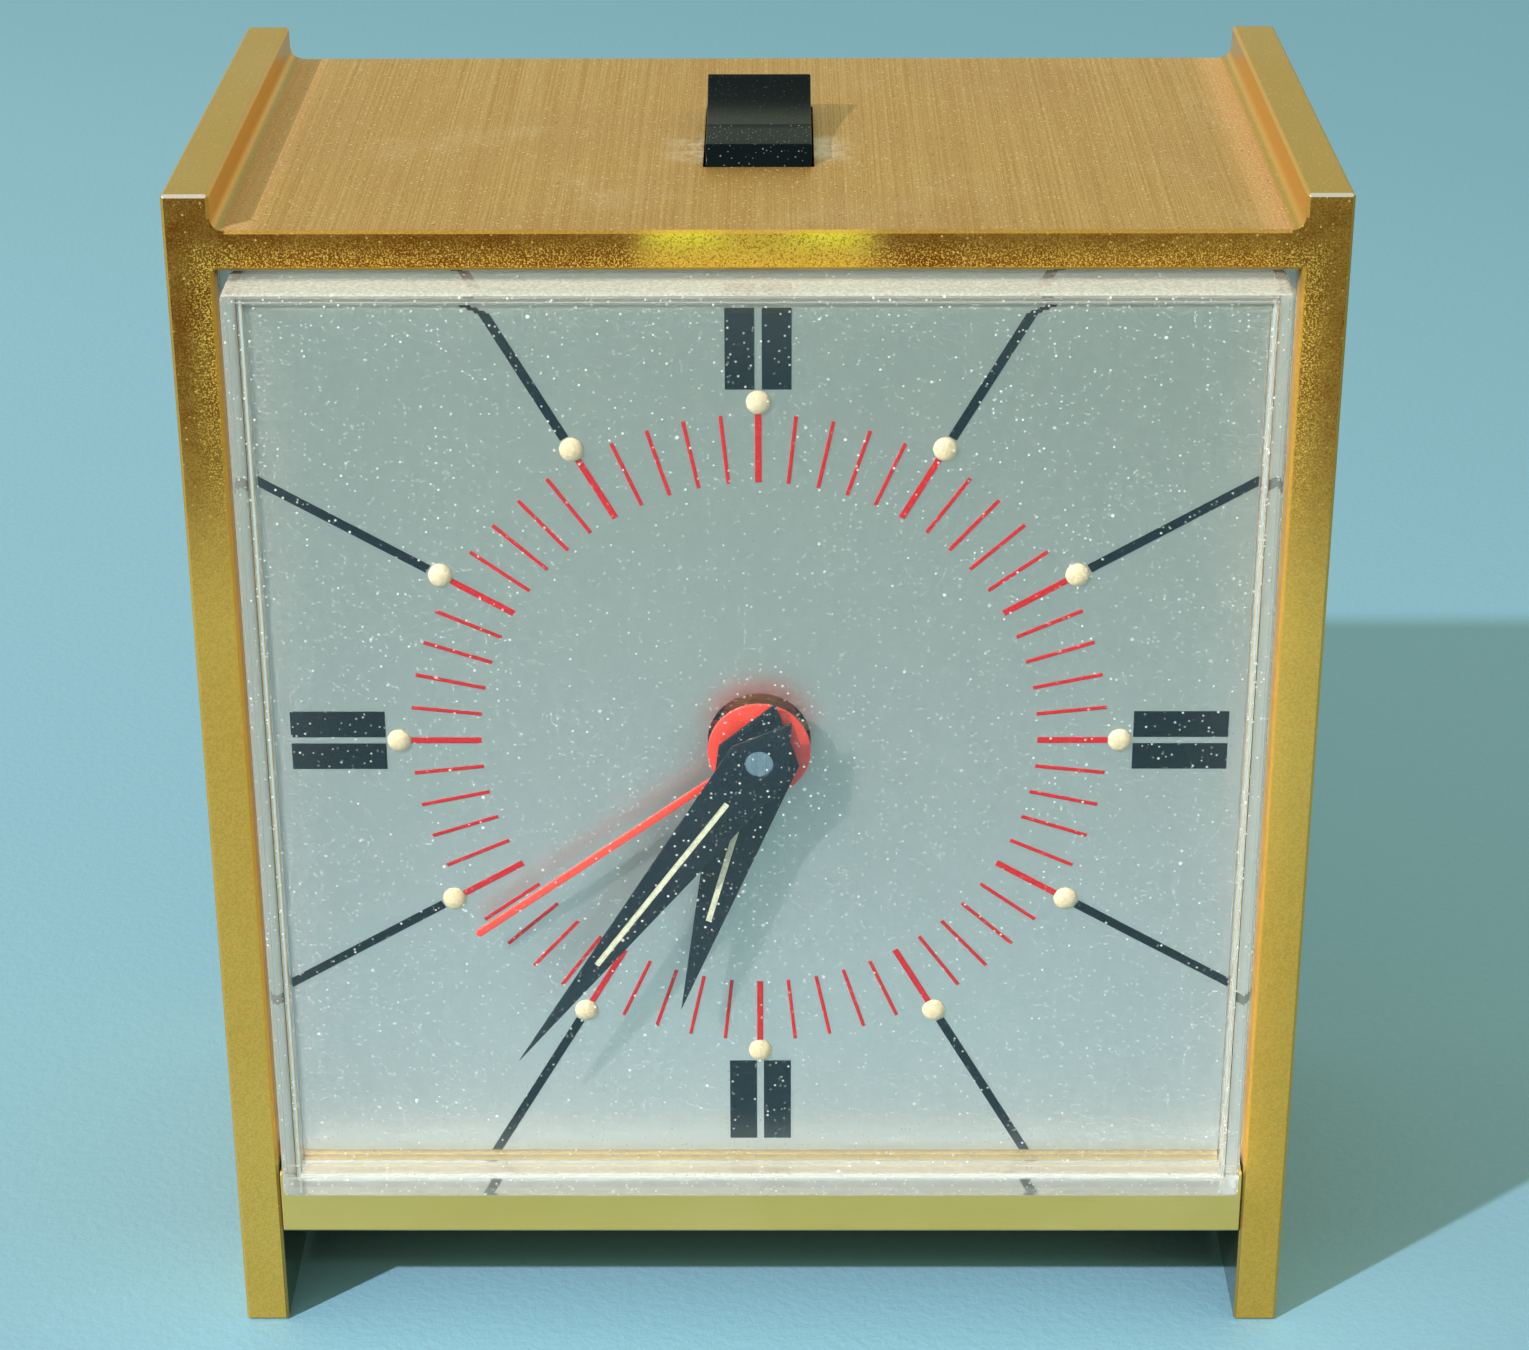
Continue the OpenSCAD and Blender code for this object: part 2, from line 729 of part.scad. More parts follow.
module back_plate() {
    color("gold") placed() {
        along_y(back_plate_y, back_plate_end) difference() {
            plate_outline();
            for (p = [third_at, fourth_at, index_at]) through(p, arbor_r + running);
            through(balance_at, staff_hole_r);
            for (p = [set_at, alarm_at]) through(p, shaft_r + running);
            for (p = pillar_at) through(p, long_screw_r + running);
        }
        for (p = spacer_at) rod(p, spacer_r, back_plate_end - eps, board_y);
    }
}

module plate_pillars() {
    color("silver") placed() for (p = pillar_at) difference() {
        rod(p, pillar_r, train_y, back_plate_y);
        bore(p, long_screw_r + running, train_y, back_plate_y);
    }
}

module screw(at, r, head_r, head_t, y0, y1) {
    difference() {
        union() {
            rod(at, r, y0, y1 + head_t);
            rod(at, head_r, y1, y1 + head_t);
        }
        translate([at[0], y1 + head_t, at[1]]) cube([2 * head_r + 1, 0.9, 0.6], center = true);
    }
}

module movement_screws() {
    color("silver") placed() for (p = pillar_at)
        screw(p, long_screw_r, screw_head_r, screw_head_t, long_screw_end, back_plate_end);
}

module arbor(at) {
    rod(at, arbor_r, front_plate_y, back_plate_end);
}

module centre_wheel() {
    color("gold") placed() difference() {
        spoked_wheel(centre_at, n_centre, m_centre, 0, centre_wheel_y, centre_wheel_y + wheel_t, 1.6);
        bore(centre_at, rear_arbor_r + running, centre_wheel_y, centre_wheel_y + wheel_t);
    }
}

module train_wheel(at, n, m, y, turn, n_pin, m_pin, y_pin, turn_pin) {
    color("gold") placed() {
        arbor(at);
        spoked_wheel(at, n, m, turn, y, y + 0.8, 1.2);
        gear(at, n_pin, m_pin, turn_pin, y_pin - pinion_over, y_pin + wheel_t + pinion_over);
    }
}

module third_wheel() {
    train_wheel(third_at, n_third, m_third, third_wheel_y, 0,
                n_third_pinion, m_centre, centre_wheel_y, t_third_pinion);
}

module fourth_wheel() {
    train_wheel(fourth_at, n_fourth, m_fourth, fourth_wheel_y, 0,
                n_fourth_pinion, m_third, third_wheel_y, t_fourth_pinion);
}

module index_wheel() {
    outline = [for (i = [0 : 2 * n_index - 1])
        let (r = index_r - (i % 2) * 0.6, a = i * 180 / n_index) [r * cos(a), r * sin(a)]];
    color("gold") placed() {
        arbor(index_at);
        translate([index_at[0], 0, index_at[1]])
            along_y(index_wheel_y, index_wheel_y + 0.8) polygon(outline);
        gear(index_at, n_index_pinion, m_fourth, t_index_pinion,
             fourth_wheel_y - pinion_over, fourth_wheel_y + wheel_t + pinion_over);
    }
}

balance_hub_r = 1.6;
hairspring_in = 1.4;
hairspring_out = 6.3;
hairspring_turns = 6;
hairspring_w = 0.16;
a_coil = 180;
a_foot = 60;
foot_r = 2.2;
foot_clear = 0.9;
foot_d = balance_r + foot_r + foot_clear;
cock_arm_w = 3.2;
cock_hub_r = 3;
cock_pad = 0.6;
stud_pin_r = 0.55;
feet_at = [for (a = [-a_foot, a_foot]) toward(balance_at, foot_d, a)];

module balance_disc(y) {
    translate([balance_at[0], 0, balance_at[1]]) along_y(y, y + disc_t) difference() {
        circle(r = balance_r, $fn = 64);
        for (a = [60, 120, 240, 300]) rotate(a) translate([balance_r * 0.6, 0]) circle(r = 1.9, $fn = 32);
    }
}

module balance_wheel() {
    color("gold") placed() {
        rod(balance_at, arbor_r, front_plate_y, cock_y + cock_t);
        balance_disc(disc_one_y);
        balance_disc(disc_two_y);
        rod(balance_at, balance_hub_r, disc_one_y + disc_t - eps, disc_two_y + eps);
        rod(balance_at, roller_r, index_wheel_y + 1.1, index_wheel_y + 1.9);
        rod(toward(balance_at, roller_r - pin_r, a_balance + 180), pin_r,
            index_wheel_y - 0.3, index_wheel_y + 1.1 + eps);
    }
}

module balance_magnets() {
    color("dimgray") placed() for (a = [a_coil, a_coil + 180]) {
        p = toward(balance_at, magnet_ring_r, a);
        rod(p, magnet_r, disc_one_y + disc_t, disc_one_y + disc_t + magnet_t);
        rod(p, magnet_r, disc_two_y - magnet_t, disc_two_y);
    }
}

// The spiral runs out at a steady rate from the collet to the stud
function spiral_point(t, side) =
    let (r = hairspring_in + (hairspring_out - hairspring_in) * t + side * hairspring_w / 2,
         a = a_foot + 360 * hairspring_turns * (t - 1)) [r * cos(a), r * sin(a)];
spiral_steps = hairspring_turns * 20;

module hairspring() {
    color("steelblue") placed() translate([balance_at[0], 0, balance_at[1]])
        along_y(hairspring_y, hairspring_y + hairspring_t) {
            polygon([for (i = [0 : spiral_steps]) spiral_point(i / spiral_steps, 1),
                     for (i = [0 : spiral_steps]) spiral_point(1 - i / spiral_steps, -1)]);
            difference() {
                circle(r = hairspring_in);
                circle(r = arbor_r);
            }
        }
}

module balance_cock() {
    color("gold") placed() {
        along_y(cock_y, cock_y + cock_t) difference() {
            union() {
                translate(balance_at) circle(r = cock_hub_r);
                for (p = feet_at) translate(p) circle(r = foot_r + cock_pad);
                for (a = [-a_foot, a_foot]) translate(balance_at) rotate(a)
                    translate([0, -cock_arm_w / 2]) square([foot_d, cock_arm_w]);
            }
            through(balance_at, arbor_r + running);
        }
        for (p = feet_at) rod(p, foot_r, back_plate_end, cock_y + eps);
        rod(toward(balance_at, hairspring_out + hairspring_w / 2 + stud_pin_r + eps, a_foot), stud_pin_r,
            hairspring_y, cock_y + eps);
        translate([balance_at[0], 0, balance_at[1]]) along_y(cock_y + cock_t - eps, lever_y + lever_t)
            difference() {
                circle(r = lever_seat_r);
                circle(r = arbor_r + running);
            }
    }
}

lever_y = cock_y + cock_t + 0.1;
lever_seat_r = 1.8;
lever_l = 12;
a_lever = -20;
lever_pin_r = 0.8;
lever_swing = 15;
index_pin_r = 0.15;
index_pins_r = hairspring_out - 0.2;
index_pins_apart = 0.8;

module regulator_lever() {
    color("silver") placed() {
        translate([balance_at[0], 0, balance_at[1]]) along_y(lever_y, lever_y + lever_t) difference() {
            union() {
                circle(r = lever_seat_r + 1.2);
                rotate(a_lever) translate([0, -0.9]) square([lever_l, 1.8]);
                rotate(a_lever) translate([lever_l, 0]) circle(r = 1.3, $fn = 32);
            }
            circle(r = lever_seat_r + running);
        }
        rod(toward(balance_at, lever_l, a_lever), lever_pin_r, lever_y, cover_back + 1);
        for (d = [-1, 1])
            rod(toward(balance_at, index_pins_r + d * index_pins_apart / 2, a_lever), index_pin_r,
                hairspring_y, lever_y + eps);
    }
}

coil_r = 3.2;
coil_core_r = 0.9;
coil_at = toward(balance_at, magnet_ring_r, a_coil);

module drive_coil() {
    color("peru") placed() along_y(coil_y, coil_y + coil_t) difference() {
        union() {
            translate(coil_at) circle(r = coil_r);
            frame_rect(board_right - 4, coil_at[0], coil_at[1] - 2, coil_at[1] + 2);
        }
        translate(coil_at) circle(r = coil_core_r, $fn = 32);
    }
}

module circuit_board() {
    color("darkgreen") placed() along_y(board_y, coil_y)
        frame_rect(board_left, board_right, board_low, board_high);
}

// The buzzer and the tall parts share the room between the board and the rear cover
rear_room = cover_front - coil_y;
buzzer_r = 8;
buzzer_in = 4;
buzzer_at = [board_left + buzzer_r + buzzer_in, board_high - buzzer_r + 0.25];
buzzer_h = 0.65 * rear_room;
buzzer_step = 0.6;
buzzer_port_r = 1.5;
lead_r = 0.5;
lead_in = 3;
transistor_r = 2.4;
transistor_rim = 0.5;
transistor_at = [board_right - 9, board_low + transistor_r + 1.1];
capacitor_r = 2.8;
capacitor_at = [board_left + capacitor_r + 0.6, board_low + capacitor_r + 0.4];
resistor_r = 1;
resistor_l = 6;
resistor_pitch = 3.2;

module circuit_parts() {
    color("gray") placed() {
        rod(transistor_at, transistor_r, coil_y, coil_y + 0.25 * rear_room);
        rod(transistor_at, transistor_r + transistor_rim, coil_y, coil_y + transistor_rim);
        rod(capacitor_at, capacitor_r, coil_y, coil_y + 0.3 * rear_room);
        for (i = [0, 1])
            translate([board_left + 10, coil_y + resistor_r, board_low + 2 * resistor_r + resistor_pitch * i])
                rotate([0, 90, 0]) cylinder(r = resistor_r, h = resistor_l);
    }
}

module buzzer() {
    back = cover_front - buzzer_h;
    color([0.12, 0.12, 0.13]) placed() difference() {
        union() {
            rod(buzzer_at, buzzer_r, back, cover_front);
            rod(buzzer_at, buzzer_r - 2, back - buzzer_step, back + eps);
            for (s = [-lead_in, lead_in]) rod([buzzer_at[0] + s, buzzer_at[1]], lead_r, coil_y, back);
        }
        rod(buzzer_at, buzzer_port_r, cover_front - 2, cover_front + 1);
    }
}

// The alarm contact's leaf lies close behind the rim of the hour wheel
contact_block_w = 5;
contact_rise = 12.75;
contact_block = [plate_w / 2 - 2 * contact_block_w, axis_z + contact_rise];
contact_tip = toward(centre_at, n_hour * m_hour / 2 - 0.9, 41.5);
contact_gap = 0.25;
contact_leaf_t = 0.2;
contact_leaf_w = 2;

module alarm_contact() {
    run = contact_tip - contact_block;
    leaf_y = hour_wheel_y + wheel_t + contact_gap;
    color("goldenrod") placed() translate([contact_block[0], 0, contact_block[1]]) {
        along_y(leaf_y, front_plate_y) square(contact_block_w, center = true);
        along_y(leaf_y, leaf_y + contact_leaf_t) rotate(atan2(run[1], run[0]))
            translate([0, -contact_leaf_w / 2]) square([norm(run), contact_leaf_w]);
    }
}

shell_in_half = shell_half - shell_t;
floor_z = shell_low + shell_t;
ceiling_z = shell_high - shell_t;
bay_wall_gap = 0.75;
bay_wall_high = plates_low - bay_wall_gap;
bay_front = train_y + 2;
bay_back = cover_front - 1.8;
cover_boss_r = 3;
cover_screw_r = 0.95;
cover_screw_in = 4.4;
cover_screw_at = [for (x = [-1, 1], z = [shell_low + cover_screw_in, shell_high - cover_screw_in])
                  [x * (shell_half - cover_screw_in), z]];
cover_screw_bite = 10;
cover_screw_end = cover_front - cover_screw_bite;
ear_t = 1.8;
carrier_half = key_w / 2 + key_gap + ear_t;
carrier_y = 5;
base_boss_h = 5;

module inner_case() {
    color([0.1, 0.1, 0.11]) placed() difference() {
        union() {
            difference() {
                along_y(shell_front, cover_front)
                    frame_rect(-shell_half, shell_half, shell_low, shell_high);
                along_y(shell_face_back, cover_front + 1)
                    frame_rect(-shell_in_half, shell_in_half, floor_z, ceiling_z);
            }
            for (p = pillar_at) rod(p, 3, shell_face_back - eps, front_plate_y);
            for (p = cover_screw_at) rod(p, cover_boss_r, cover_screw_end - 2, cover_front);
            for (s = [-1, 1]) {
                along_y(bay_front, bay_back) frame_rect(
                    s * (bay_half + shell_t / 2) - shell_t / 2, s * (bay_half + shell_t / 2) + shell_t / 2,
                    floor_z - eps, bay_wall_high);
                translate([s * base_screw_x, case_d / 2, floor_z - eps]) cylinder(r = 2.8, h = base_boss_h);
            }
        }
        bore(centre_at, hub_hole_r + 0.7, shell_front, shell_face_back);
        for (p = pillar_at) rod(p, long_screw_r + running, long_screw_end - running, front_plate_y + 1);
        for (p = cover_screw_at) rod(p, cover_screw_r + running, cover_screw_end, cover_front + 1);
        for (s = [-1, 1]) {
            translate([s * base_screw_x, case_d / 2, shell_low - 1])
                cylinder(r = screw_r + running, h = shell_t + base_boss_h - 0.5);
            translate([s * frame_screw_x, case_d / 2, ceiling_z - 1])
                cylinder(r = screw_r + running, h = shell_t + 2);
        }
        translate([-carrier_half - slip, key_y - carrier_y - slip, ceiling_z - 1])
            cube([2 * (carrier_half + slip), 2 * (carrier_y + slip), shell_t + 2]);
    }
}

module upright_screw(x, y, z_head, up, l) {
    translate([x, y, z_head]) mirror([0, 0, up ? 0 : 1]) difference() {
        union() {
            translate([0, 0, -screw_head_t]) cylinder(r = screw_r, h = l + screw_head_t);
            translate([0, 0, -screw_head_t]) cylinder(r = screw_head_r, h = screw_head_t);
        }
        translate([0, 0, -screw_head_t]) cube([2 * screw_head_r + 1, 0.6, 0.9], center = true);
    }
}

module base_screws() {
    color("silver") placed() for (s = [-1, 1])
        upright_screw(s * base_screw_x, case_d / 2, plate_top - lip_t, true, lip_t + slip + shell_t + 3);
}

module frame_screws() {
    color("silver") placed() for (s = [-1, 1])
        upright_screw(s * frame_screw_x, case_d / 2, ceiling_z, true, shell_t + slip + screw_bite - 0.2);
}

door_half = bay_half - 1.2;
door_low = floor_z + 0.7;
door_high = battery_z + battery_d / 2 + 0.4;
door_gap = 0.15;
barrel_r = 1.5;
hinge_y = cover_back - barrel_r;
hinge_z = door_low + door_gap + barrel_r;
hinge_pin_r = 0.8;
hinge_pin_l = 1.6;
lug_w = 3;
sound_pitch = 2.6;
sound_w = 1.2;
sound_r = buzzer_r - 1.6;

module rear_cover() {
    color([0.1, 0.1, 0.11]) placed() difference() {
        union() {
            along_y(cover_front, cover_back) frame_rect(-shell_half, shell_half, shell_low, shell_high);
            for (s = [-1, 1]) translate([s * (door_half + lug_w / 2), cover_front, hinge_z])
                cube([lug_w, 2 * barrel_r, 2 * barrel_r], center = true);
        }
        along_y(cover_front - 3, cover_back + 1)
            frame_rect(-door_half, door_half, door_low, door_high + door_gap);
        translate([0, hinge_y, hinge_z]) rotate([0, 90, 0])
            cylinder(r = hinge_pin_r + running, h = 2 * (door_half + hinge_pin_l + slip), center = true);
        for (p = [set_at, alarm_at]) bore(p, shaft_r + 0.2, cover_front, cover_back);
        for (p = cover_screw_at) bore(p, cover_screw_r + running, cover_front, cover_back);
        translate([balance_at[0], 0, balance_at[1]]) along_y(cover_front - 1, cover_back + 1)
            intersection() {
                difference() {
                    circle(r = lever_l + lever_pin_r + 0.3, $fn = 96);
                    circle(r = lever_l - lever_pin_r - 0.3, $fn = 96);
                }
                rotate(a_lever) polygon([[0, 0], 20 * [cos(lever_swing + 5), -sin(lever_swing + 5)],
                                         20 * [cos(lever_swing + 5), sin(lever_swing + 5)]]);
            }
        for (i = [-2 : 2]) along_y(cover_front - 1, cover_back + 1)
            translate([buzzer_at[0] + sound_pitch * i, buzzer_at[1]])
                square([sound_w, 2 * sqrt(pow(sound_r, 2) - pow(sound_pitch * i, 2))], center = true);
    }
}

module battery_door() {
    color([0.12, 0.12, 0.13]) placed() {
        across_x(2 * (door_half - door_gap)) {
            translate([hinge_y, hinge_z]) circle(r = barrel_r, $fn = 32);
            difference() {
                frame_rect(cover_front, cover_back, hinge_z, door_high);
                translate([cover_back + 1.6, door_high - 5]) circle(r = 2.6, $fn = 32);
            }
        }
        translate([0, hinge_y, hinge_z]) rotate([0, 90, 0])
            cylinder(r = hinge_pin_r, h = 2 * (door_half + hinge_pin_l), center = true);
    }
}

module cover_screws() {
    color("silver") placed() for (p = cover_screw_at)
        screw(p, cover_screw_r, 2, 1.2, cover_screw_end + 0.5, cover_back);
}

cap_l = 1.5;
cap_r = 3.6;

module battery() {
    color("tan") placed() translate([-battery_l / 2, battery_y, battery_z]) rotate([0, 90, 0])
        cylinder(r = battery_d / 2, h = battery_l - cap_l, $fn = 64);
}

module battery_cap() {
    color("silver") placed() translate([battery_l / 2 - cap_l, battery_y, battery_z]) rotate([0, 90, 0])
        cylinder(r = cap_r, h = cap_l, $fn = 32);
}

leaf_half = 6;
leaf_low = battery_z - 7;
leaf_high = plates_low - 0.6;
tongue_y = back_plate_end + screw_head_t + 0.5;
tongue_w = 4;
strap_t = 0.5;
strap_w = 3;
strap_low = plates_low + 1;
strap_left = -14;

// The battery contacts: a leaf against the wall of the bay, with a tongue up past the movement
module contact_leaf(tongue_high) {
    translate([bay_half - contact_t, battery_y - leaf_half, leaf_low])
        cube([contact_t, 2 * leaf_half, leaf_high - leaf_low]);
    translate([bay_half - contact_t, tongue_y, leaf_high - eps])
        cube([contact_t, tongue_w, tongue_high - leaf_high]);
}

module contact_plus() {
    color("silver") placed() {
        contact_leaf(strap_low + strap_w);
        translate([battery_l / 2, battery_y, battery_z]) rotate([0, 90, 0])
            cylinder(r = cap_r - 0.6, h = bay_half - contact_t - battery_l / 2 + eps, $fn = 32);
        along_y(tongue_y, tongue_y + strap_t) {
            frame_rect(strap_left, bay_half, strap_low, strap_low + strap_w);
            frame_rect(strap_left, strap_left + strap_w, strap_low, board_low);
        }
    }
}

module contact_minus() {
    color("silver") placed() mirror([1, 0, 0]) {
        contact_leaf(board_low + strap_w);
        translate([0, battery_y - strap_w, 0]) along_y(0, 2 * strap_w) difference() {
            polygon([[bay_half - contact_t + eps, battery_z - 6], [battery_l / 2, battery_z],
                     [bay_half - contact_t + eps, battery_z + 6]]);
            polygon([[bay_half - contact_t + eps, battery_z - 6 + contact_t],
                     [battery_l / 2 + contact_t * 0.6, battery_z],
                     [bay_half - contact_t + eps, battery_z + 6 - contact_t]]);
        }
        translate([-board_left, tongue_y, board_low])
            cube([bay_half + board_left, strap_t, strap_w]);
    }
}

key_sweep_a = 72.5;
key_hub_r = 2.1;
key_tail_w = 2.4;

// The key's top: flat from the front ridge to the crease, and hollow from there to the back ridge
function key_top(t) =
    let (ridge = [key_r * sin(key_ridge_a), key_r * cos(key_ridge_a)],
         crease = [-key_crease, key_valley], s = abs(t), sink = t < 0 ? key_sag : 0)
    [crease[0] + (-sign(t) * ridge[0] - crease[0]) * s,
     crease[1] + (ridge[1] - crease[1]) * s - sink * 4 * s * (1 - s)];
key_top_steps = 12;

module key_outline() {
    ridge_z = key_r * cos(key_ridge_a);
    chord_z = key_r * cos(key_sweep_a);
    intersection() {
        circle(r = key_r, $fn = 96);
        polygon([[key_r + 1, chord_z], [key_r + 1, ridge_z],
                 for (i = [-key_top_steps : key_top_steps]) key_top(i / key_top_steps),
                 [-key_r - 1, ridge_z], [-key_r - 1, chord_z]]);
    }
    circle(r = key_hub_r);
    translate([-key_hub_r, 0]) square([2 * key_hub_r, chord_z + 0.5]);
    intersection() {
        circle(r = key_tail_r);
        translate([-key_tail_w / 2, -key_tail_r]) square([key_tail_w, key_tail_r]);
    }
}

module alarm_key() {
    color([0.06, 0.07, 0.08]) placed() translate([0, key_y, key_z]) difference() {
        across_x(key_w) rotate(key_tilt) key_outline();
        rotate([0, 90, 0]) cylinder(r = key_pin_r + running, h = key_w + 2, center = true);
    }
}

module key_pin() {
    color("silver") placed() translate([0, key_y, key_z]) rotate([0, 90, 0])
        cylinder(r = key_pin_r, h = 2 * carrier_half, center = true);
}

module key_carrier() {
    color([0.85, 0.84, 0.8]) placed() translate([0, key_y, 0]) difference() {
        union() {
            for (s = [-1, 1]) {
                translate([s * (carrier_half - ear_t / 2), 0, (shell_high + carrier_under) / 2])
                    cube([ear_t, 2 * carrier_y, shell_high - carrier_under + 2 * eps], center = true);
                translate([s * (carrier_half + 2), 0, ceiling_z - 0.8])
                    cube([4 + 2 * eps, 2 * carrier_y, 1.6], center = true);
            }
            translate([-carrier_half, -carrier_y, carrier_under - carrier_base_t])
                cube([2 * carrier_half, 2 * carrier_y, carrier_base_t]);
        }
        translate([0, 0, key_z]) rotate([0, 90, 0])
            cylinder(r = key_pin_r, h = 2 * carrier_half + 2, center = true);
    }
}

module key_spring() {
    color("silver") placed() translate([0, key_y, 0]) across_x(4) {
        frame_rect(-4.5, 4.5, carrier_under + 0.2, carrier_under + 0.4);
        for (s = [-1, 1]) translate([s * 4.3, carrier_under + 0.15]) square([0.4, 0.3], center = true);
    }
}

case_frame();
bottom_plate();
crystal();
dial();
dial_print_black();
dial_print_red();
lume_dots();
alarm_hand();
hour_hand();
hour_hand_lume();
minute_hand();
minute_hand_lume();
minute_arbor();
hour_wheel();
minute_wheel();
alarm_wheel();
time_set_shaft();
time_set_knob();
alarm_set_shaft();
alarm_set_knob();
inner_case();
front_plate();
back_plate();
plate_pillars();
movement_screws();
centre_wheel();
third_wheel();
fourth_wheel();
index_wheel();
balance_wheel();
balance_magnets();
hairspring();
balance_cock();
regulator_lever();
drive_coil();
circuit_board();
circuit_parts();
alarm_contact();
buzzer();
alarm_key();
key_pin();
key_carrier();
key_spring();
battery();
battery_cap();
contact_plus();
contact_minus();
rear_cover();
battery_door();
cover_screws();
base_screws();
frame_screws();
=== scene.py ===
"""Looks of a free-standing electronic alarm clock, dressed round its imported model.

Lengths in the classes are millimetres: X to the right, Y back from the frame's front face and Z up
from the surface that the clock stands on. `at` turns them into metres of the shared frame, and
`Graph.spot` gives them to the shaders.
"""

import logging
import math
import random
from dataclasses import dataclass
from enum import Enum
from typing import Callable, Iterable

import bmesh
import bpy
from mathutils import Matrix, Vector


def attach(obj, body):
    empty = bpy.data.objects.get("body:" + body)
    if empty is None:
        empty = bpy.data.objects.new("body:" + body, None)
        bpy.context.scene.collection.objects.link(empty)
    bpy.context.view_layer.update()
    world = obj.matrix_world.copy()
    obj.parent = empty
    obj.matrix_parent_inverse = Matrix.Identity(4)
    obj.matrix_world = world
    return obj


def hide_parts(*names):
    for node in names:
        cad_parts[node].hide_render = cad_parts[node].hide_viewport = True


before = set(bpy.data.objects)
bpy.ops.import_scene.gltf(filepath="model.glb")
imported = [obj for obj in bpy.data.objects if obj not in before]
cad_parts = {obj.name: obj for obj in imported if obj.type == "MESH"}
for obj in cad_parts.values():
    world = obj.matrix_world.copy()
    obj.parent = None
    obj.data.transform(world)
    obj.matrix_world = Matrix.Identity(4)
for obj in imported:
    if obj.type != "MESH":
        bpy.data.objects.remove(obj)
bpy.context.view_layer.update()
log = logging.getLogger("alarm_clock")

MM = 0.001
Y_MID = 22.75

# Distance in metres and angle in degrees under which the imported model's points and faces are one.
WELD = 2e-6
FLAT = 1.0

CRYSTAL_HALF = 41.4
CRYSTAL_LOW = 16.07
CRYSTAL_HIGH = 98.43
DIAL_CENTRE = 57.25

RIGHT = Vector((1, 0, 0))
BACK = Vector((0, 1, 0))

Colour = tuple[float, float, float]
Point = tuple[float, float, float]
Pair = tuple[float, float]
Socket = bpy.types.NodeSocket
Value = float | Colour | Socket


def at(x: float, y: float, z: float) -> Vector:
    """Turns millimetres measured from the frame's front face into metres of the shared frame."""
    return Vector((x, y - Y_MID, z)) * MM


def paint(red: int, green: int, blue: int) -> Colour:
    """Turns a display colour in 0 to 255 into the linear values that shaders take.

    Args:
        red: How red it is, from 0 to 255.
        green: How green it is, from 0 to 255.
        blue: How blue it is, from 0 to 255.

    Returns:
        The linear colour.
    """
    def channel(v: int) -> float:
        """Turns one part of the colour."""
        s = v / 255
        return s / 12.92 if s <= 0.04045 else ((s + 0.055) / 1.055) ** 2.4
    return channel(red), channel(green), channel(blue)


# ---------------------------------------------------------------------------------------------
# Shader nodes
# ---------------------------------------------------------------------------------------------


@dataclass(frozen=True)
class Cloud:
    """Soft noise in waves per metre, with a range of its values mapped to a range of results."""

    scale: float
    detail: float = 2.0
    roughness: float = 0.5
    low: float = 0.3
    high: float = 0.7
    start: float = 0.0
    end: float = 1.0


@dataclass(frozen=True)
class Spots:
    """Scattered spots: cells per metre, the share of cells with a spot, and its size in cells."""

    scale: float
    share: float
    size: float


EDGE_WEAR = Cloud(900.0, 3.0, 0.5, 0.35, 0.65, 0.3, 1.0)
DUST_PATCHES = Cloud(180.0, 4.0, 0.6, 0.35, 0.75)
GRIT = Cloud(5200.0, 3.0, 0.7, 0.38, 0.62)
BROWNING = Cloud(70.0, 4.0, 0.6, 0.4, 0.7, 0.0, 0.35)
SMUDGES = Cloud(95.0, 4.0, 0.65, 0.52, 0.78, 0.0, 0.35)
KEY_FLUFF = Cloud(420.0, 5.0, 0.75, 0.36, 0.62, 0.0, 0.9)
TARNISH = Cloud(260.0, 5.0, 0.7, 0.3, 0.7, 0.75, 1.0)
PITS = Cloud(6400.0, 2.0, 0.6, 0.5, 0.4)
GLINTS = Cloud(6600.0, 2.0, 0.6, 0.5, 0.6)
PANE_DRIFT = Cloud(28.0, 3.0, 0.5, 0.4, 0.7)
PANE_FOOT = Cloud(55.0, 3.0, 0.5, 0.3, 0.7, 0.5, 1.0)
LEDGE_DUST = Cloud(3600.0, 3.0, 0.7, 0.35, 0.65, 0.72, 1.1)
PAPER = Cloud(1100.0, 3.0, 0.6)
FLOOR_DRIFT = Cloud(6.0)

GRAINS = Spots(3600.0, 0.55, 0.45)
LOOSE_DUST = Spots(2600.0, 0.5, 0.42)
DARK_SPOTS = Spots(1900.0, 0.3, 0.36)
GLINT_FLECKS = Spots(2900.0, 0.45, 0.36)
KEY_DUST = Spots(3400.0, 0.6, 0.34)
PANE_SMALL = Spots(1700.0, 0.45, 0.3)
PANE_LARGE = Spots(610.0, 0.3, 0.22)
PANE_FINE = Spots(2500.0, 0.45, 0.36)

# The part of the normal that points a way, from where a face begins to count to where it does.
UPWARD, FRONTWARD, SIDEWARD = (0.6, 0.9), (-0.6, -0.9), (0.5, 0.9)
LEANING_UP, LEANING_DOWN, LEANING_ASIDE = (0.3, 0.9), (-0.3, -0.9), (0.3, 0.9)


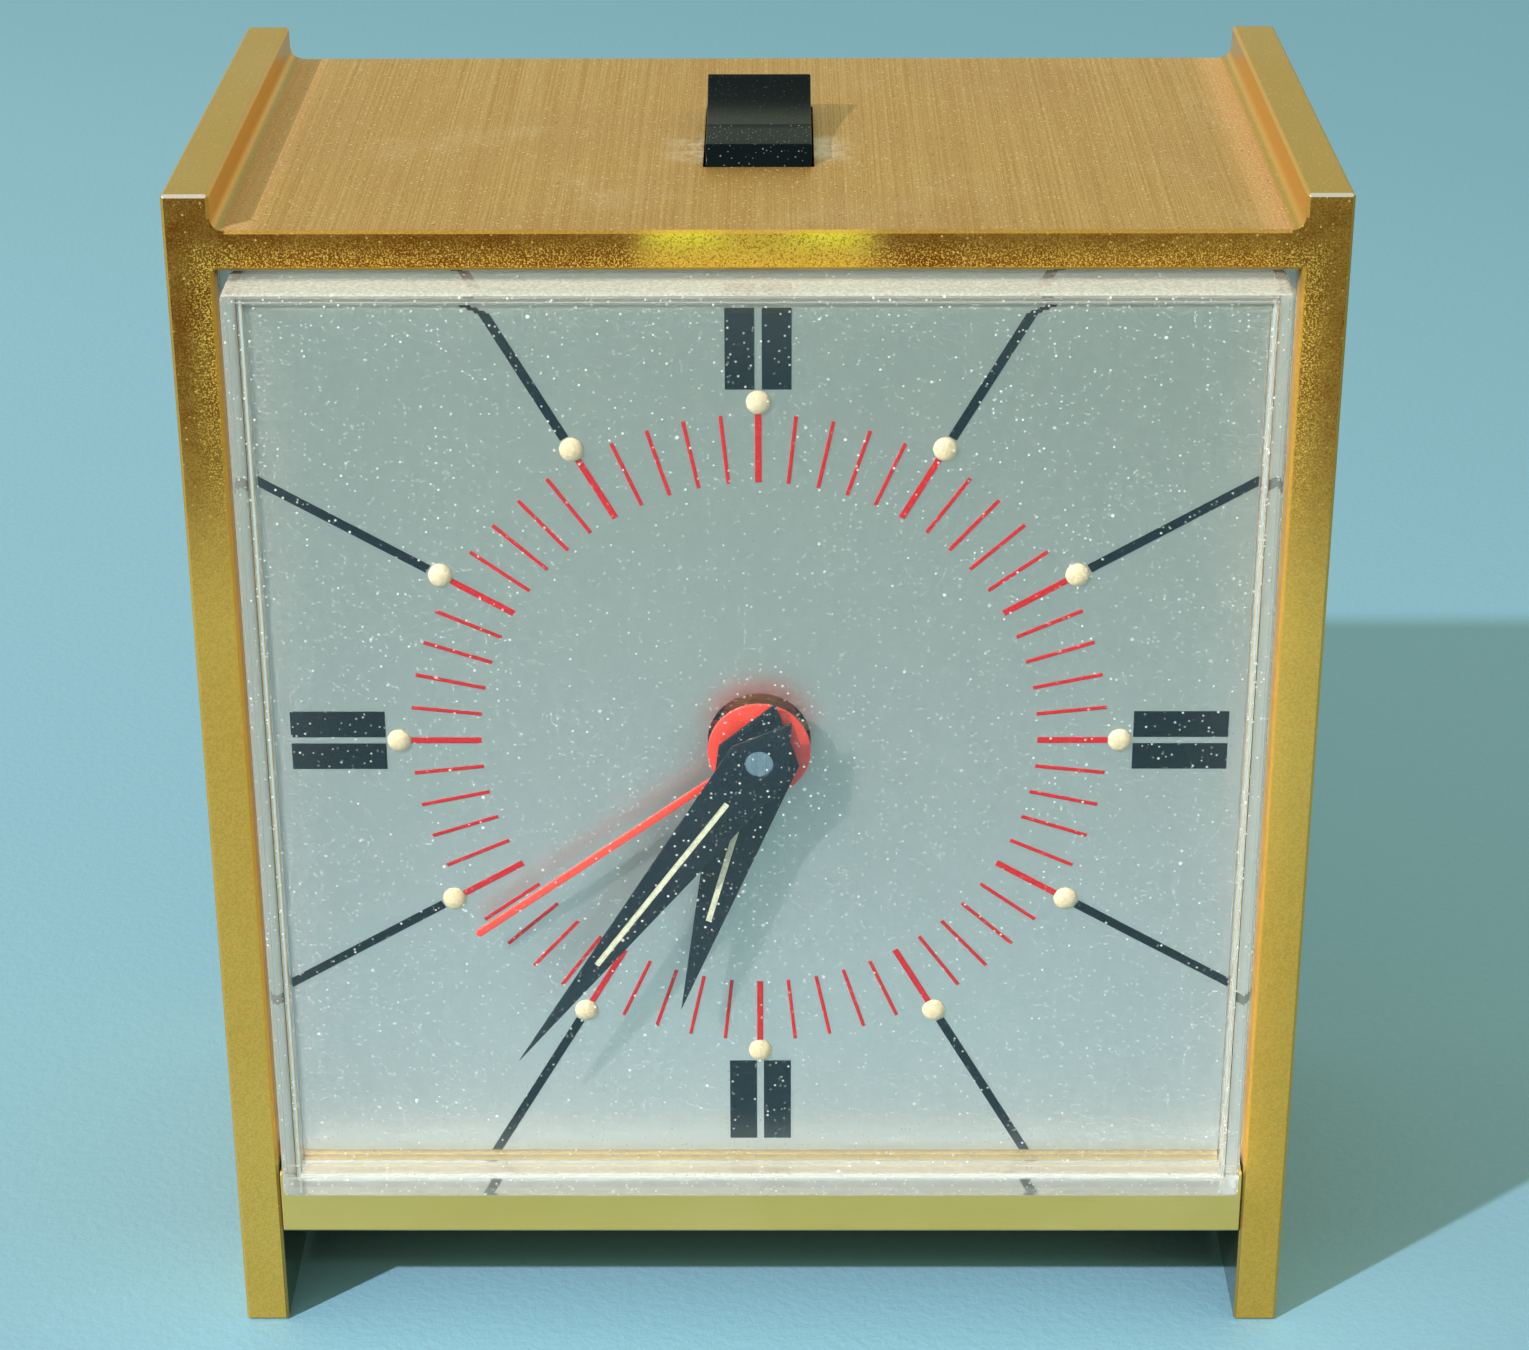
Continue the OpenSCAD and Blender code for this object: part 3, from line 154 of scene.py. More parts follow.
class Graph:
    """Wires the nodes of one material, world or node group."""

    def __init__(self, tree: bpy.types.NodeTree) -> None:
        """Keeps the tree and empties it."""
        self.tree = tree
        tree.nodes.clear()

    def feed(self, socket: Socket, value: Value) -> None:
        """Links a socket into an input, or sets the input's value.

        Args:
            socket: The input.
            value: Another node's output, a number, or a colour or vector.
        """
        if isinstance(value, Socket):
            self.tree.links.new(value, socket)
        elif socket.type == "RGBA":
            socket.default_value = (*value, 1.0)
        else:
            socket.default_value = value

    def add(self, kind: str, settings: dict | None = None, **inputs: Value) -> bpy.types.Node:
        """Adds a node.

        Args:
            kind: The node's type, without the word that all shader nodes start with.
            settings: The node's own properties.
            **inputs: Values or links by input name, with an underscore for each space.

        Returns:
            The new node.
        """
        node = self.tree.nodes.new("ShaderNode" + kind)
        for key, value in (settings or {}).items():
            setattr(node, key, value)
        for key, value in inputs.items():
            self.feed(node.inputs[key.replace("_", " ")], value)
        return node

    def fill(self, node: bpy.types.Node, *values: Value) -> bpy.types.Node:
        """Feeds a node's inputs in order, and gives the node.

        Args:
            node: The node.
            *values: Numbers, colours or sockets, in the order of its inputs.

        Returns:
            The node.
        """
        for socket, value in zip(node.inputs, values):
            self.feed(socket, value)
        return node

    def maths(self, kind: str, *values: Value) -> Socket:
        """Does arithmetic on numbers and gives the result's socket."""
        return self.fill(self.add("Math", {"operation": kind}), *values).outputs[0]

    def vector(self, kind: str, *values: Value) -> bpy.types.Node:
        """Does arithmetic on vectors and gives the node."""
        return self.fill(self.add("VectorMath", {"operation": kind}), *values)

    def times(self, first: Value, *others: Value) -> Socket:
        """Multiplies numbers.

        Args:
            first: The first number.
            *others: The other numbers.

        Returns:
            The product's socket.
        """
        for other in others:
            first = self.maths("MULTIPLY", first, other)
        return first

    def most(self, first: Value, *others: Value) -> Socket:
        """Gives the largest of some numbers.

        Args:
            first: The first number.
            *others: The other numbers.

        Returns:
            The largest number's socket.
        """
        for other in others:
            first = self.maths("MAXIMUM", first, other)
        return first

    def less(self, first: Value, second: Value) -> Socket:
        """Takes the second number from the first."""
        return self.maths("SUBTRACT", first, second)

    def size(self, value: Value) -> Socket:
        """Gives a number without its sign."""
        return self.maths("ABSOLUTE", value)

    def ramp(self, value: Value, low: Value, high: Value, start: float = 0.0,
             end: float = 1.0) -> Socket:
        """Maps a number smoothly from one range to another, held at both ends.

        Args:
            value: The number to map.
            low: Where the result is `start`.
            high: Where the result is `end`.
            start: The result at `low`.
            end: The result at `high`.

        Returns:
            The mapped number's socket.
        """
        node = self.add("MapRange", {"interpolation_type": "SMOOTHSTEP"})
        return self.fill(node, value, low, high, start, end).outputs["Result"]

    def band(self, value: Value, low: float, high: float, soft: float) -> Socket:
        """Gives 1 between two limits and 0 outside them, with soft ends."""
        return self.times(self.ramp(value, low - soft, low + soft),
                          self.ramp(value, high + soft, high - soft))

    def mix(self, share: Value, first: Value, second: Value, mode: str = "MIX") -> Socket:
        """Blends the second colour over the first by a share, and gives the result's socket.

        Args:
            share: How much of the second shows.
            first: The first colour.
            second: The second colour.
            mode: How the second is blended.

        Returns:
            The blend's socket.
        """
        node = self.add("Mix", {"data_type": "RGBA", "blend_type": mode})
        for index, value in ((0, share), (6, first), (7, second)):
            self.feed(node.inputs[index], value)
        return node.outputs[2]

    def over(self, colour: Value, *layers: tuple[Value, Value]) -> Value:
        """Lays colours over a first one, each with its own share, and gives the result's socket.

        Args:
            colour: The first colour.
            *layers: Pairs of a share and a colour.

        Returns:
            The result's socket.
        """
        for share, tone in layers:
            colour = self.mix(share, colour, tone)
        return colour

    def lerp(self, share: Value, first: Value, second: Value) -> Socket:
        """Blends two numbers by a share, and gives the result's socket.

        Args:
            share: How much of the second shows.
            first: The first number.
            second: The second number.

        Returns:
            The blend's socket.
        """
        node = self.add("Mix", {"data_type": "FLOAT"})
        for index, value in ((0, share), (2, first), (3, second)):
            self.feed(node.inputs[index], value)
        return node.outputs[0]

    def varied(self, colour: Value, share: Value, low: float, high: float) -> Socket:
        """Multiplies a colour by a number that goes from low to high with the share."""
        return self.mix(1.0, colour, self.lerp(share, low, high), "MULTIPLY")

    def place(self) -> Socket:
        """Gives the surface point in the object's own coordinates, in metres."""
        return self.add("TexCoord").outputs["Object"]

    def spot(self) -> tuple[Socket, ...]:
        """Gives the surface point in millimetres, measured as in the classes."""
        scale, shift = (1 / MM,) * 3, (0.0, Y_MID, 0.0)
        return self.split(self.vector("MULTIPLY_ADD", self.place(), scale, shift).outputs[0])

    def normal(self) -> Socket:
        """Gives the way that the surface faces."""
        return self.add("NewGeometry").outputs["Normal"]

    def split(self, vector: Socket) -> tuple[Socket, ...]:
        """Gives a vector's three parts."""
        return tuple(self.add("SeparateXYZ", Vector=vector).outputs)

    def call(self, group: bpy.types.NodeTree, **inputs: Value) -> bpy.types.Node:
        """Places a node group with its own values."""
        return self.add("Group", {"node_tree": group}, **inputs)

    def noise(self, vector: Value, scale: Value, detail: float = 2.0,
              roughness: float = 0.5) -> Socket:
        """Gives a noise value at a point."""
        return self.add("TexNoise", Vector=vector, Scale=scale, Detail=detail,
                        Roughness=roughness).outputs["Fac"]

    def cloud(self, cloud: Cloud) -> Socket:
        """Gives soft noise, mapped to its range of results."""
        value = self.noise(self.place(), cloud.scale, cloud.detail, cloud.roughness)
        return self.ramp(value, cloud.low, cloud.high, cloud.start, cloud.end)

    def spots(self, spots: Spots) -> Socket:
        """Gives scattered spots."""
        return self.call(SPECKS.group(), Scale=spots.scale, Share=spots.share,
                         Size=spots.size).outputs[0]


@dataclass(frozen=True)
class Effect:
    """A shared surface effect: a node group with named inputs and outputs."""

    name: str
    inputs: dict[str, tuple[str, object]]
    outputs: dict[str, str]
    wire: Callable[[Graph, bpy.types.Node], dict[str, Socket]]

    def group(self) -> bpy.types.NodeTree:
        """Gives the node group, made on first use.

        Returns:
            The node group.
        """
        made = bpy.data.node_groups.get(self.name)
        if made:
            return made
        tree = bpy.data.node_groups.new(self.name, "ShaderNodeTree")
        for name, (kind, value) in self.inputs.items():
            socket = tree.interface.new_socket(name=name, in_out="INPUT",
                                               socket_type="NodeSocket" + kind)
            socket.default_value = value
        for name, kind in self.outputs.items():
            tree.interface.new_socket(name=name, in_out="OUTPUT", socket_type="NodeSocket" + kind)
        graph = Graph(tree)
        results = self.wire(graph, tree.nodes.new("NodeGroupInput"))
        sink = tree.nodes.new("NodeGroupOutput")
        for name, socket in results.items():
            tree.links.new(socket, sink.inputs[name])
        return tree


def wire_specks(g: Graph, source: bpy.types.Node) -> dict[str, Socket]:
    """Scattered small spots of uneven size, such as dust or sparkle.

    Args:
        g: The group's graph.
        source: The group's input node.

    Returns:
        The group's results by their names.
    """
    cells = g.add("TexVoronoi", {"feature": "F1"}, Vector=g.place(), Scale=source.outputs["Scale"])
    chance = g.add("SeparateColor", Color=cells.outputs["Color"]).outputs
    picked = g.maths("LESS_THAN", chance["Red"], source.outputs["Share"])
    reach = g.times(source.outputs["Size"], g.lerp(chance["Green"], 0.35, 1.0))
    spot = g.ramp(cells.outputs["Distance"], reach, g.times(reach, 0.45))
    return {"Mask": g.times(picked, spot, g.lerp(chance["Blue"], 0.45, 1.0))}


def wire_streaks(g: Graph, source: bpy.types.Node) -> dict[str, Socket]:
    """Fine lines that run where the stretch is small, with a few wider ones.

    Args:
        g: The group's graph.
        source: The group's input node.

    Returns:
        The group's results by their names.
    """
    stretched = g.vector("MULTIPLY", g.place(), source.outputs["Stretch"]).outputs[0]
    scale = source.outputs["Scale"]
    fine = g.noise(stretched, scale, 4.0, 0.8)
    wide = g.noise(stretched, g.times(scale, 0.2))
    return {"Lines": g.ramp(g.lerp(0.05, fine, wide), 0.36, 0.64)}


def wire_edges(g: Graph, source: bpy.types.Node) -> dict[str, Socket]:
    """Rounds sharp edges in the shading and masks them where they wear.

    Args:
        g: The group's graph.
        source: The group's input node.

    Returns:
        The group's results by their names.
    """
    rounded = g.add("Bevel", {"samples": 4}, Radius=source.outputs["Radius"]).outputs[0]
    bent = g.less(1.0, g.vector("DOT_PRODUCT", rounded, g.normal()).outputs["Value"])
    worn = g.times(bent, source.outputs["Gain"], g.cloud(EDGE_WEAR))
    return {"Mask": g.ramp(worn, 0.0, 1.0), "Normal": rounded}


def wire_dust(g: Graph, source: bpy.types.Node) -> dict[str, Socket]:
    """Dust that settles on what faces up: faint soft patches, and specks that stand out.

    Args:
        g: The group's graph.
        source: The group's input node.

    Returns:
        The group's results by their names.
    """
    amount = source.outputs["Amount"]
    up = g.ramp(g.split(g.normal())[2], 0.1, 0.9, 0.4, 1.0)
    film = g.times(g.cloud(DUST_PATCHES), up, amount)
    grains = g.call(SPECKS.group(), Scale=3600.0, Size=0.32, Share=g.times(amount, 8.0))
    return {"Mask": g.most(film, g.times(grains.outputs[0], 0.55))}


SPECKS = Effect("specks",
                {"Scale": ("Float", 1000.0), "Share": ("Float", 0.1), "Size": ("Float", 0.3)},
                {"Mask": "Float"}, wire_specks)
STREAKS = Effect("streaks", {"Stretch": ("Vector", (1.0, 1.0, 1.0)), "Scale": ("Float", 1000.0)},
                 {"Lines": "Float"}, wire_streaks)
EDGES = Effect("worn_edges", {"Radius": ("Float", 0.0002), "Gain": ("Float", 2.0)},
               {"Mask": "Float", "Normal": "Vector"}, wire_edges)
DUST = Effect("settled_dust", {"Amount": ("Float", 0.3)}, {"Mask": "Float"}, wire_dust)


# ---------------------------------------------------------------------------------------------
# Finishes
# ---------------------------------------------------------------------------------------------

DUST_PALE = paint(206, 200, 184)
DUSTY_ROUGH = 0.85


class Grain(Enum):
    """How a surface was worked: each value stretches the grain, small along the lines."""

    EVEN = (1.0, 1.0, 1.0)
    ALONG_X = (0.02, 1.0, 1.0)
    ALONG_Z = (1.0, 1.0, 0.02)


@dataclass(frozen=True)
class Finish:
    """A worked surface: two tones in patches, grain, rounded and worn edges, and settled dust.

    The grain's scale is in lines or cells per metre, and its depth and the edges' radius in
    millimetres.
    """

    name: str
    colour: Colour
    second: Colour
    rough: Pair
    metallic: float = 0.0
    specular: float = 0.5
    coat: float = 0.0
    coat_rough: float = 0.12
    grain: Grain = Grain.EVEN
    grain_scale: float = 2500.0
    grain_depth: float = 0.004
    grain_shade: float = 0.15
    patch_scale: float = 60.0
    edge: Colour | None = None
    edge_radius: float = 0.12
    edge_gain: float = 2.0
    dust: float = 0.15

    def material(self) -> bpy.types.Material:
        """Gives the finish's material, made on first use.

        Returns:
            The material.
        """
        title = self.name + "_finish"
        made = bpy.data.materials.get(title)
        if made:
            return made
        made = bpy.data.materials.new(title)
        made.use_nodes = True
        graph = Graph(made.node_tree)
        graph.add("OutputMaterial", Surface=self.wire(graph))
        return made

    def tones(self, g: Graph) -> tuple[Socket, Socket]:
        """Gives where the second tone lies, and the two tones in patches."""
        patches = g.cloud(Cloud(self.patch_scale, 4.0, 0.6))
        return patches, g.mix(patches, self.colour, self.second)

    def lines(self, g: Graph) -> Socket:
        """Gives the grain."""
        return g.call(STREAKS.group(), Stretch=self.grain.value, Scale=self.grain_scale).outputs[0]

    def edges(self, g: Graph) -> tuple[Socket, ...]:
        """Gives where the edges are worn, and the normal that rounds them."""
        return tuple(g.call(EDGES.group(), Radius=self.edge_radius * MM,
                            Gain=self.edge_gain).outputs)

    def bump(self, g: Graph, height: Socket, **under: Socket) -> Socket:
        """Gives the normal of a relief as deep as the grain, over the `Normal` given if any."""
        return g.add("Bump", Strength=1.0, Distance=self.grain_depth * MM, Height=height,
                     **under).outputs[0]

    def settled(self, g: Graph, colour: Socket) -> tuple[Socket, Socket]:
        """Gives where the dust lies, and the colour under it."""
        dust = g.call(DUST.group(), Amount=self.dust).outputs[0]
        return dust, g.mix(dust, colour, DUST_PALE)

    def wire(self, g: Graph) -> Socket:
        """Wires the surface and gives the shader's socket.

        Args:
            g: The material's graph.

        Returns:
            The shader's socket.
        """
        _, colour = self.tones(g)
        lines = self.lines(g)
        worn, rounded = self.edges(g)
        colour = g.varied(colour, lines, 1.0 - self.grain_shade, 1.0 + self.grain_shade)
        if self.edge:
            colour = g.mix(worn, colour, self.edge)
        rough = g.lerp(lines, *self.rough)
        if self.dust:
            dust, colour = self.settled(g, colour)
            rough = g.lerp(dust, rough, DUSTY_ROUGH)
        return self.shade(g, colour, rough, self.bump(g, lines, Normal=rounded))

    def shade(self, g: Graph, colour: Value, rough: Value, normal: Value) -> Socket:
        """Puts the surface's colour, roughness and normal on the shader and gives its socket.

        Args:
            g: The material's graph.
            colour: The surface's colour.
            rough: Its roughness.
            normal: Its normal.

        Returns:
            The shader's socket.
        """
        return g.add("BsdfPrincipled", Base_Color=colour, Roughness=rough, Metallic=self.metallic,
                     Specular_IOR_Level=self.specular, Coat_Weight=self.coat,
                     Coat_Roughness=self.coat_rough, Normal=normal).outputs[0]


@dataclass(frozen=True)
class Banded(Finish):
    """A plain surface with coloured bands across X, in millimetres from where the piece starts."""

    start: float = 0.0
    bands: tuple[Pair, ...] = ()
    band_colours: tuple[Colour, ...] = ()
    soft: float = 0.03

    def wire(self, g: Graph) -> Socket:
        """Wires the bands over two tones in patches.

        Args:
            g: The material's graph.

        Returns:
            The shader's socket.
        """
        x, _, _ = g.spot()
        _, colour = self.tones(g)
        for (low, high), tone in zip(self.bands, self.band_colours):
            inside = g.band(x, self.start + low, self.start + high, self.soft)
            colour = g.mix(inside, colour, tone)
        lines = self.lines(g)
        return self.shade(g, colour, g.lerp(lines, *self.rough), self.bump(g, lines))


@dataclass(frozen=True)
class FrameGold(Finish):
    """Gold-coloured metal of the case frame.

    The top panel is brushed from front to back, and dust lies along its fillets, lightened there as
    painted bounce light, and by the key. The faces at the front are satin with patches of tarnish,
    painted darker towards the top as a painted dark reflection, and full of painted glints there.
    The middle of the panel's front edge and the rim of the opening carry painted highlights. The
    inner faces of the opening are painted darker on the right, where the lamp lights them, and the
    feet's inner faces carry a painted reflection of the shadowed floor.
    """

    rail: Colour = paint(180, 144, 54)
    panel: Colour = paint(204, 162, 87)
    panel_dark: Colour = paint(182, 137, 68)
    panel_brown: Colour = paint(184, 138, 78)
    smudge: Colour = paint(222, 192, 146)
    fluff: Colour = paint(236, 216, 190)
    loose: Colour = paint(240, 220, 172)
    # Pale dust colour along the panel's fillets, lightened as painted bounce light in the rails'
    # shade.
    grime_and_bounce: Colour = paint(226, 186, 132)
    # Dark brown: tarnish and dark spots, and the painted dark reflection at the top of the front
    # faces.
    tarnish_and_dark_reflection: Colour = paint(114, 60, 0)
    # Painted glints: the sparkle and bright flecks on the front faces.
    sparkle: Colour = paint(255, 204, 88)
    glint_fleck: Colour = paint(255, 214, 116)
    # Painted highlights on the middle of the front edge, in its two lobes and along the rim of the
    # opening.
    painted_highlight: Colour = paint(220, 176, 58)
    glare: Colour = paint(255, 226, 64)
    amber: Colour = paint(244, 176, 74)
    # Darker amber for the right inner faces: painted shade where the lamp lights them.
    amber_right_shaded: Colour = paint(206, 156, 74)
    silver: Colour = paint(206, 197, 182)
    # Dark teal for the feet's inner faces: a painted reflection of the shadowed floor.
    foot: Colour = paint(64, 80, 66)
    brush: Point = (1.0, 0.0022, 1.0)
    brush_scale: float = 7000.0
    panel_half: float = 41.4
    panel_top: float = 102.1
    panel_under: float = 98.85
    opening_half: float = 42.4
    opening_low: float = 16.0
    key_half: float = 4.35
    key_front: float = 18.5
    key_crease: float = 25.0
    top_band_low: float = 66.0
    top_band_high: float = 92.0
    bright_half: float = 6.0
    lobe: float = 5.5

    def panel_tone(self, g: Graph, y: Socket, side: Socket, grit: Socket,
                   brushed: Socket) -> Socket:
        """Gives the brushed panel's colour.

        Args:
            g: The material's graph.
            y: How far back the point lies.
            side: How far the point lies from the middle.
            grit: Fine grain.
            brushed: The brushed lines.

        Returns:
            The colour's socket.
        """
        tone = g.over(self.panel_dark, (brushed, self.panel), (g.cloud(BROWNING), self.panel_brown))
        smudged = g.times(g.cloud(SMUDGES), g.lerp(grit, 0.4, 1.0))
        by_key = g.times(g.ramp(side, self.key_half + 4.5, self.key_half + 0.2),
                         g.band(y, self.key_front, self.key_crease, 1.5), g.cloud(KEY_FLUFF))
        return g.over(g.varied(tone, grit, 0.82, 1.19), (smudged, self.smudge),
                      (by_key, self.fluff))

    def front_tone(self, g: Graph, colour: Socket, x: Socket, z: Socket,
                   on_front: Socket) -> Socket:
        """Lays tarnish, painted dark reflection, painted highlights and painted glints on the faces
        at the front.

        Args:
            g: The material's graph.
            colour: The metal's colour.
            x: How far to the right the point lies.
            z: How high the point lies.
            on_front: Where the surface faces the front.

        Returns:
            The colour's socket.
        """
        side = g.size(x)
        out = g.most(g.less(side, self.opening_half), g.less(z, self.panel_under))
        height = g.ramp(z, self.top_band_low, self.top_band_high)
        middle = g.ramp(side, self.bright_half, self.bright_half + 5)
        # Darker and browner towards the top, less so at the right: a painted dark reflection,
        # broken up by patches of tarnish.
        dark_reflection_and_tarnish = g.times(height, g.cloud(TARNISH), on_front, middle, g.ramp(x, 10, 30, 1.0, 0.83))
        # Painted highlight in the middle of the panel's front edge.
        centre = g.times(g.less(1.0, middle), on_front,
                         g.ramp(z, self.panel_under - 0.85, self.panel_under - 0.05))
        # Painted highlight in two lobes near the top of the front edge.
        lobes = g.times(g.ramp(g.size(g.less(side, self.lobe)), 4.5, 0.5), on_front,
                        g.ramp(z, self.panel_top - 2.3, self.panel_top - 0.2))
        pits = g.times(g.cloud(PITS), height, on_front, 0.6)
        # Painted glints, thicker near the opening's rim, and flecks of painted glint, most of them
        # towards the top.
        glints = g.times(g.cloud(GLINTS), height, on_front, g.ramp(out, 3.0, 0.4, 0.15, 1.0), 0.85)
        glint_flecks = g.times(g.spots(GLINT_FLECKS), on_front, g.lerp(height, 0.12, 0.8))
        # Painted highlight along the rim of the opening.
        rim = g.times(g.ramp(out, 0.4, 0.15), on_front, 0.7)
        return g.over(colour, (dark_reflection_and_tarnish, self.tarnish_and_dark_reflection), (centre, self.painted_highlight), (lobes, self.glare),
                      (pits, self.tarnish_and_dark_reflection), (glints, self.sparkle), (glint_flecks, self.glint_fleck),
                      (rim, self.painted_highlight))

    def wire(self, g: Graph) -> Socket:
        """Wires the frame's zones by place and by the way that the surface faces.

        Args:
            g: The material's graph.

        Returns:
            The shader's socket.
        """
        x, y, z = g.spot()
        facing_x, facing_y, facing_z = g.split(g.normal())
        side = g.size(x)
        on_top = g.ramp(facing_z, *UPWARD)
        on_front = g.ramp(facing_y, *FRONTWARD)
        in_panel = g.times(on_top, g.ramp(side, self.panel_half + 0.4, self.panel_half - 0.1))
        inward = g.times(g.ramp(g.size(facing_x), *SIDEWARD),
                         g.ramp(side, self.opening_half + 1, self.opening_half + 0.6))
        # The feet's inner faces, below the bar, carry a painted reflection of the shadowed floor.
        foot = g.times(inward, g.ramp(z, self.opening_low + 1, self.opening_low - 0.4))
        grit = g.cloud(GRIT)
        brushed = g.call(STREAKS.group(), Stretch=self.brush, Scale=self.brush_scale).outputs[0]
        patches, colour = self.tones(g)
        worn, rounded = self.edges(g)

        # Amber inner faces of the opening, painted darker on the right, where the lamp lights them:
        # painted shade.
        amber = g.mix(g.ramp(x, -10, 10), self.amber, self.amber_right_shaded)
        panel = self.panel_tone(g, y, side, grit, brushed)
        # Dust along the panel's fillets, lightened as painted bounce light where the rails shade
        # the panel.
        dust_and_bounce = g.times(g.ramp(side, self.panel_half - 3.4, self.panel_half - 1.2), in_panel,
                        g.lerp(g.times(grit, grit), 0.35, 0.95))
        loose = g.times(g.spots(LOOSE_DUST), g.lerp(in_panel, 0.45, 0.85))
        dark = g.times(g.spots(DARK_SPOTS), in_panel, 0.5)
        chamfer = g.times(g.band(facing_z, 0.4, 0.85, 0.1), g.band(facing_y, -0.85, -0.4, 0.1),
                          g.ramp(z, self.panel_top + 0.1, self.panel_top + 0.5))
        colour = g.varied(g.mix(on_top, colour, self.rail), grit, 0.9, 1.1)
        colour = g.over(colour, (g.times(inward, 0.8), amber), (foot, self.foot),
                        (in_panel, panel), (dust_and_bounce, self.grime_and_bounce),
                        (g.times(loose, on_top), self.loose), (dark, self.tarnish_and_dark_reflection))
        colour = g.over(self.front_tone(g, colour, x, z, on_front), (chamfer, self.silver),
                        (worn, self.edge))

        rough = g.lerp(in_panel, g.lerp(patches, *self.rough), g.lerp(brushed, 0.5, 0.36))
        rough = g.lerp(foot, g.lerp(g.most(dust_and_bounce, loose), rough, DUSTY_ROUGH), 0.12)
        relief = g.lerp(in_panel, g.times(g.spots(GRAINS), 0.25), brushed)
        return self.shade(g, colour, rough, self.bump(g, relief, Normal=rounded))


@dataclass(frozen=True)
class KeyBlack(Finish):
    """Glossy black plastic with a pale painted reflection in its hollow, and specks of dust, most
    of them on its front.
    """

    hollow: float = 23.0
    end: float = 27.5
    # Strength of the painted reflection in the hollow.
    haze: float = 0.06
    dust_and_sheen: Colour = paint(176, 178, 158)

    def wire(self, g: Graph) -> Socket:
        """Wires the black with the painted reflection in its hollow and the dust on it.

        Args:
            g: The material's graph.

        Returns:
            The shader's socket.
        """
        _, y, _ = g.spot()
        # A pale painted reflection lies in the hollow, on the faces that rise.
        rising = g.ramp(g.split(g.normal())[2], 0.3, 0.7)
        hollow_sheen = g.times(g.ramp(y, self.hollow, self.hollow + 0.1),
                        g.ramp(y, self.end, self.hollow + 0.6), rising, self.haze)
        patches, colour = self.tones(g)
        worn, rounded = self.edges(g)
        front = g.ramp(y, self.hollow + 0.4, self.hollow, 0.2, 1.0)
        colour = g.over(colour, (worn, self.edge), (hollow_sheen, self.dust_and_sheen),
                        (g.times(g.spots(KEY_DUST), front, self.dust), self.dust_and_sheen))
        return self.shade(g, colour, g.lerp(patches, *self.rough), rounded)


@dataclass(frozen=True)
class DialSilver(Finish):
    """Silvered dial, painted darker at the top, with a painted reflection of the red hand at its
    hub.
    """

    top_shade: Colour = paint(170, 174, 158)
    red_reflection: Colour = paint(214, 84, 60)
    red_reflection_share: float = 0.3
    red_reflection_reach: float = 2.6
    low: float = 16.0
    high: float = 98.0
    hub: float = 4.3

    def wire(self, g: Graph) -> Socket:
        """Wires the plate's painted shade by height and the painted reflection of the red hand by
        the distance from the hub.

        Args:
            g: The material's graph.

        Returns:
            The shader's socket.
        """
        x, _, z = g.spot()
        _, colour = self.tones(g)
        # Painted shade: the dial grows darker towards the top.
        colour = g.mix(g.ramp(z, self.low, self.high), colour, self.top_shade)
        # Painted reflection of the red hand on the dial round the hub.
        up = g.less(z, DIAL_CENTRE)
        away = g.maths("SQRT", g.maths("ADD", g.times(x, x), g.times(up, up)))
        near = g.times(g.ramp(away, self.hub + self.red_reflection_reach, self.hub),
                       g.ramp(up, 0.0, self.hub, 0.15, 1.0), self.red_reflection_share)
        _, colour = self.settled(g, g.mix(near, colour, self.red_reflection))
        lines = self.lines(g)
        return self.shade(g, colour, g.lerp(lines, *self.rough), self.bump(g, lines))


@dataclass(frozen=True)
class Acrylic(Finish):
    """Clear moulded acrylic that lets the lamps through to the dial."""

    index: float = 1.49
    tint: Colour = (0.97, 0.98, 0.97)

    def wire(self, g: Graph) -> Socket:
        """Wires clear glass with faint waves in its faces, and light passing as shadow.

        Args:
            g: The material's graph.

        Returns:
            The shader's socket.
        """
        waves = g.noise(g.place(), self.grain_scale)
        glass = g.add("BsdfPrincipled", Base_Color=self.colour, Roughness=self.rough[0],
                      IOR=self.index, Transmission_Weight=1.0, Normal=self.bump(g, waves))
        clear = g.add("BsdfTransparent", Color=self.tint)
        shadow = g.add("LightPath").outputs["Is Shadow Ray"]
        return g.fill(g.add("MixShader"), shadow, glass.outputs[0], clear.outputs[0]).outputs[0]


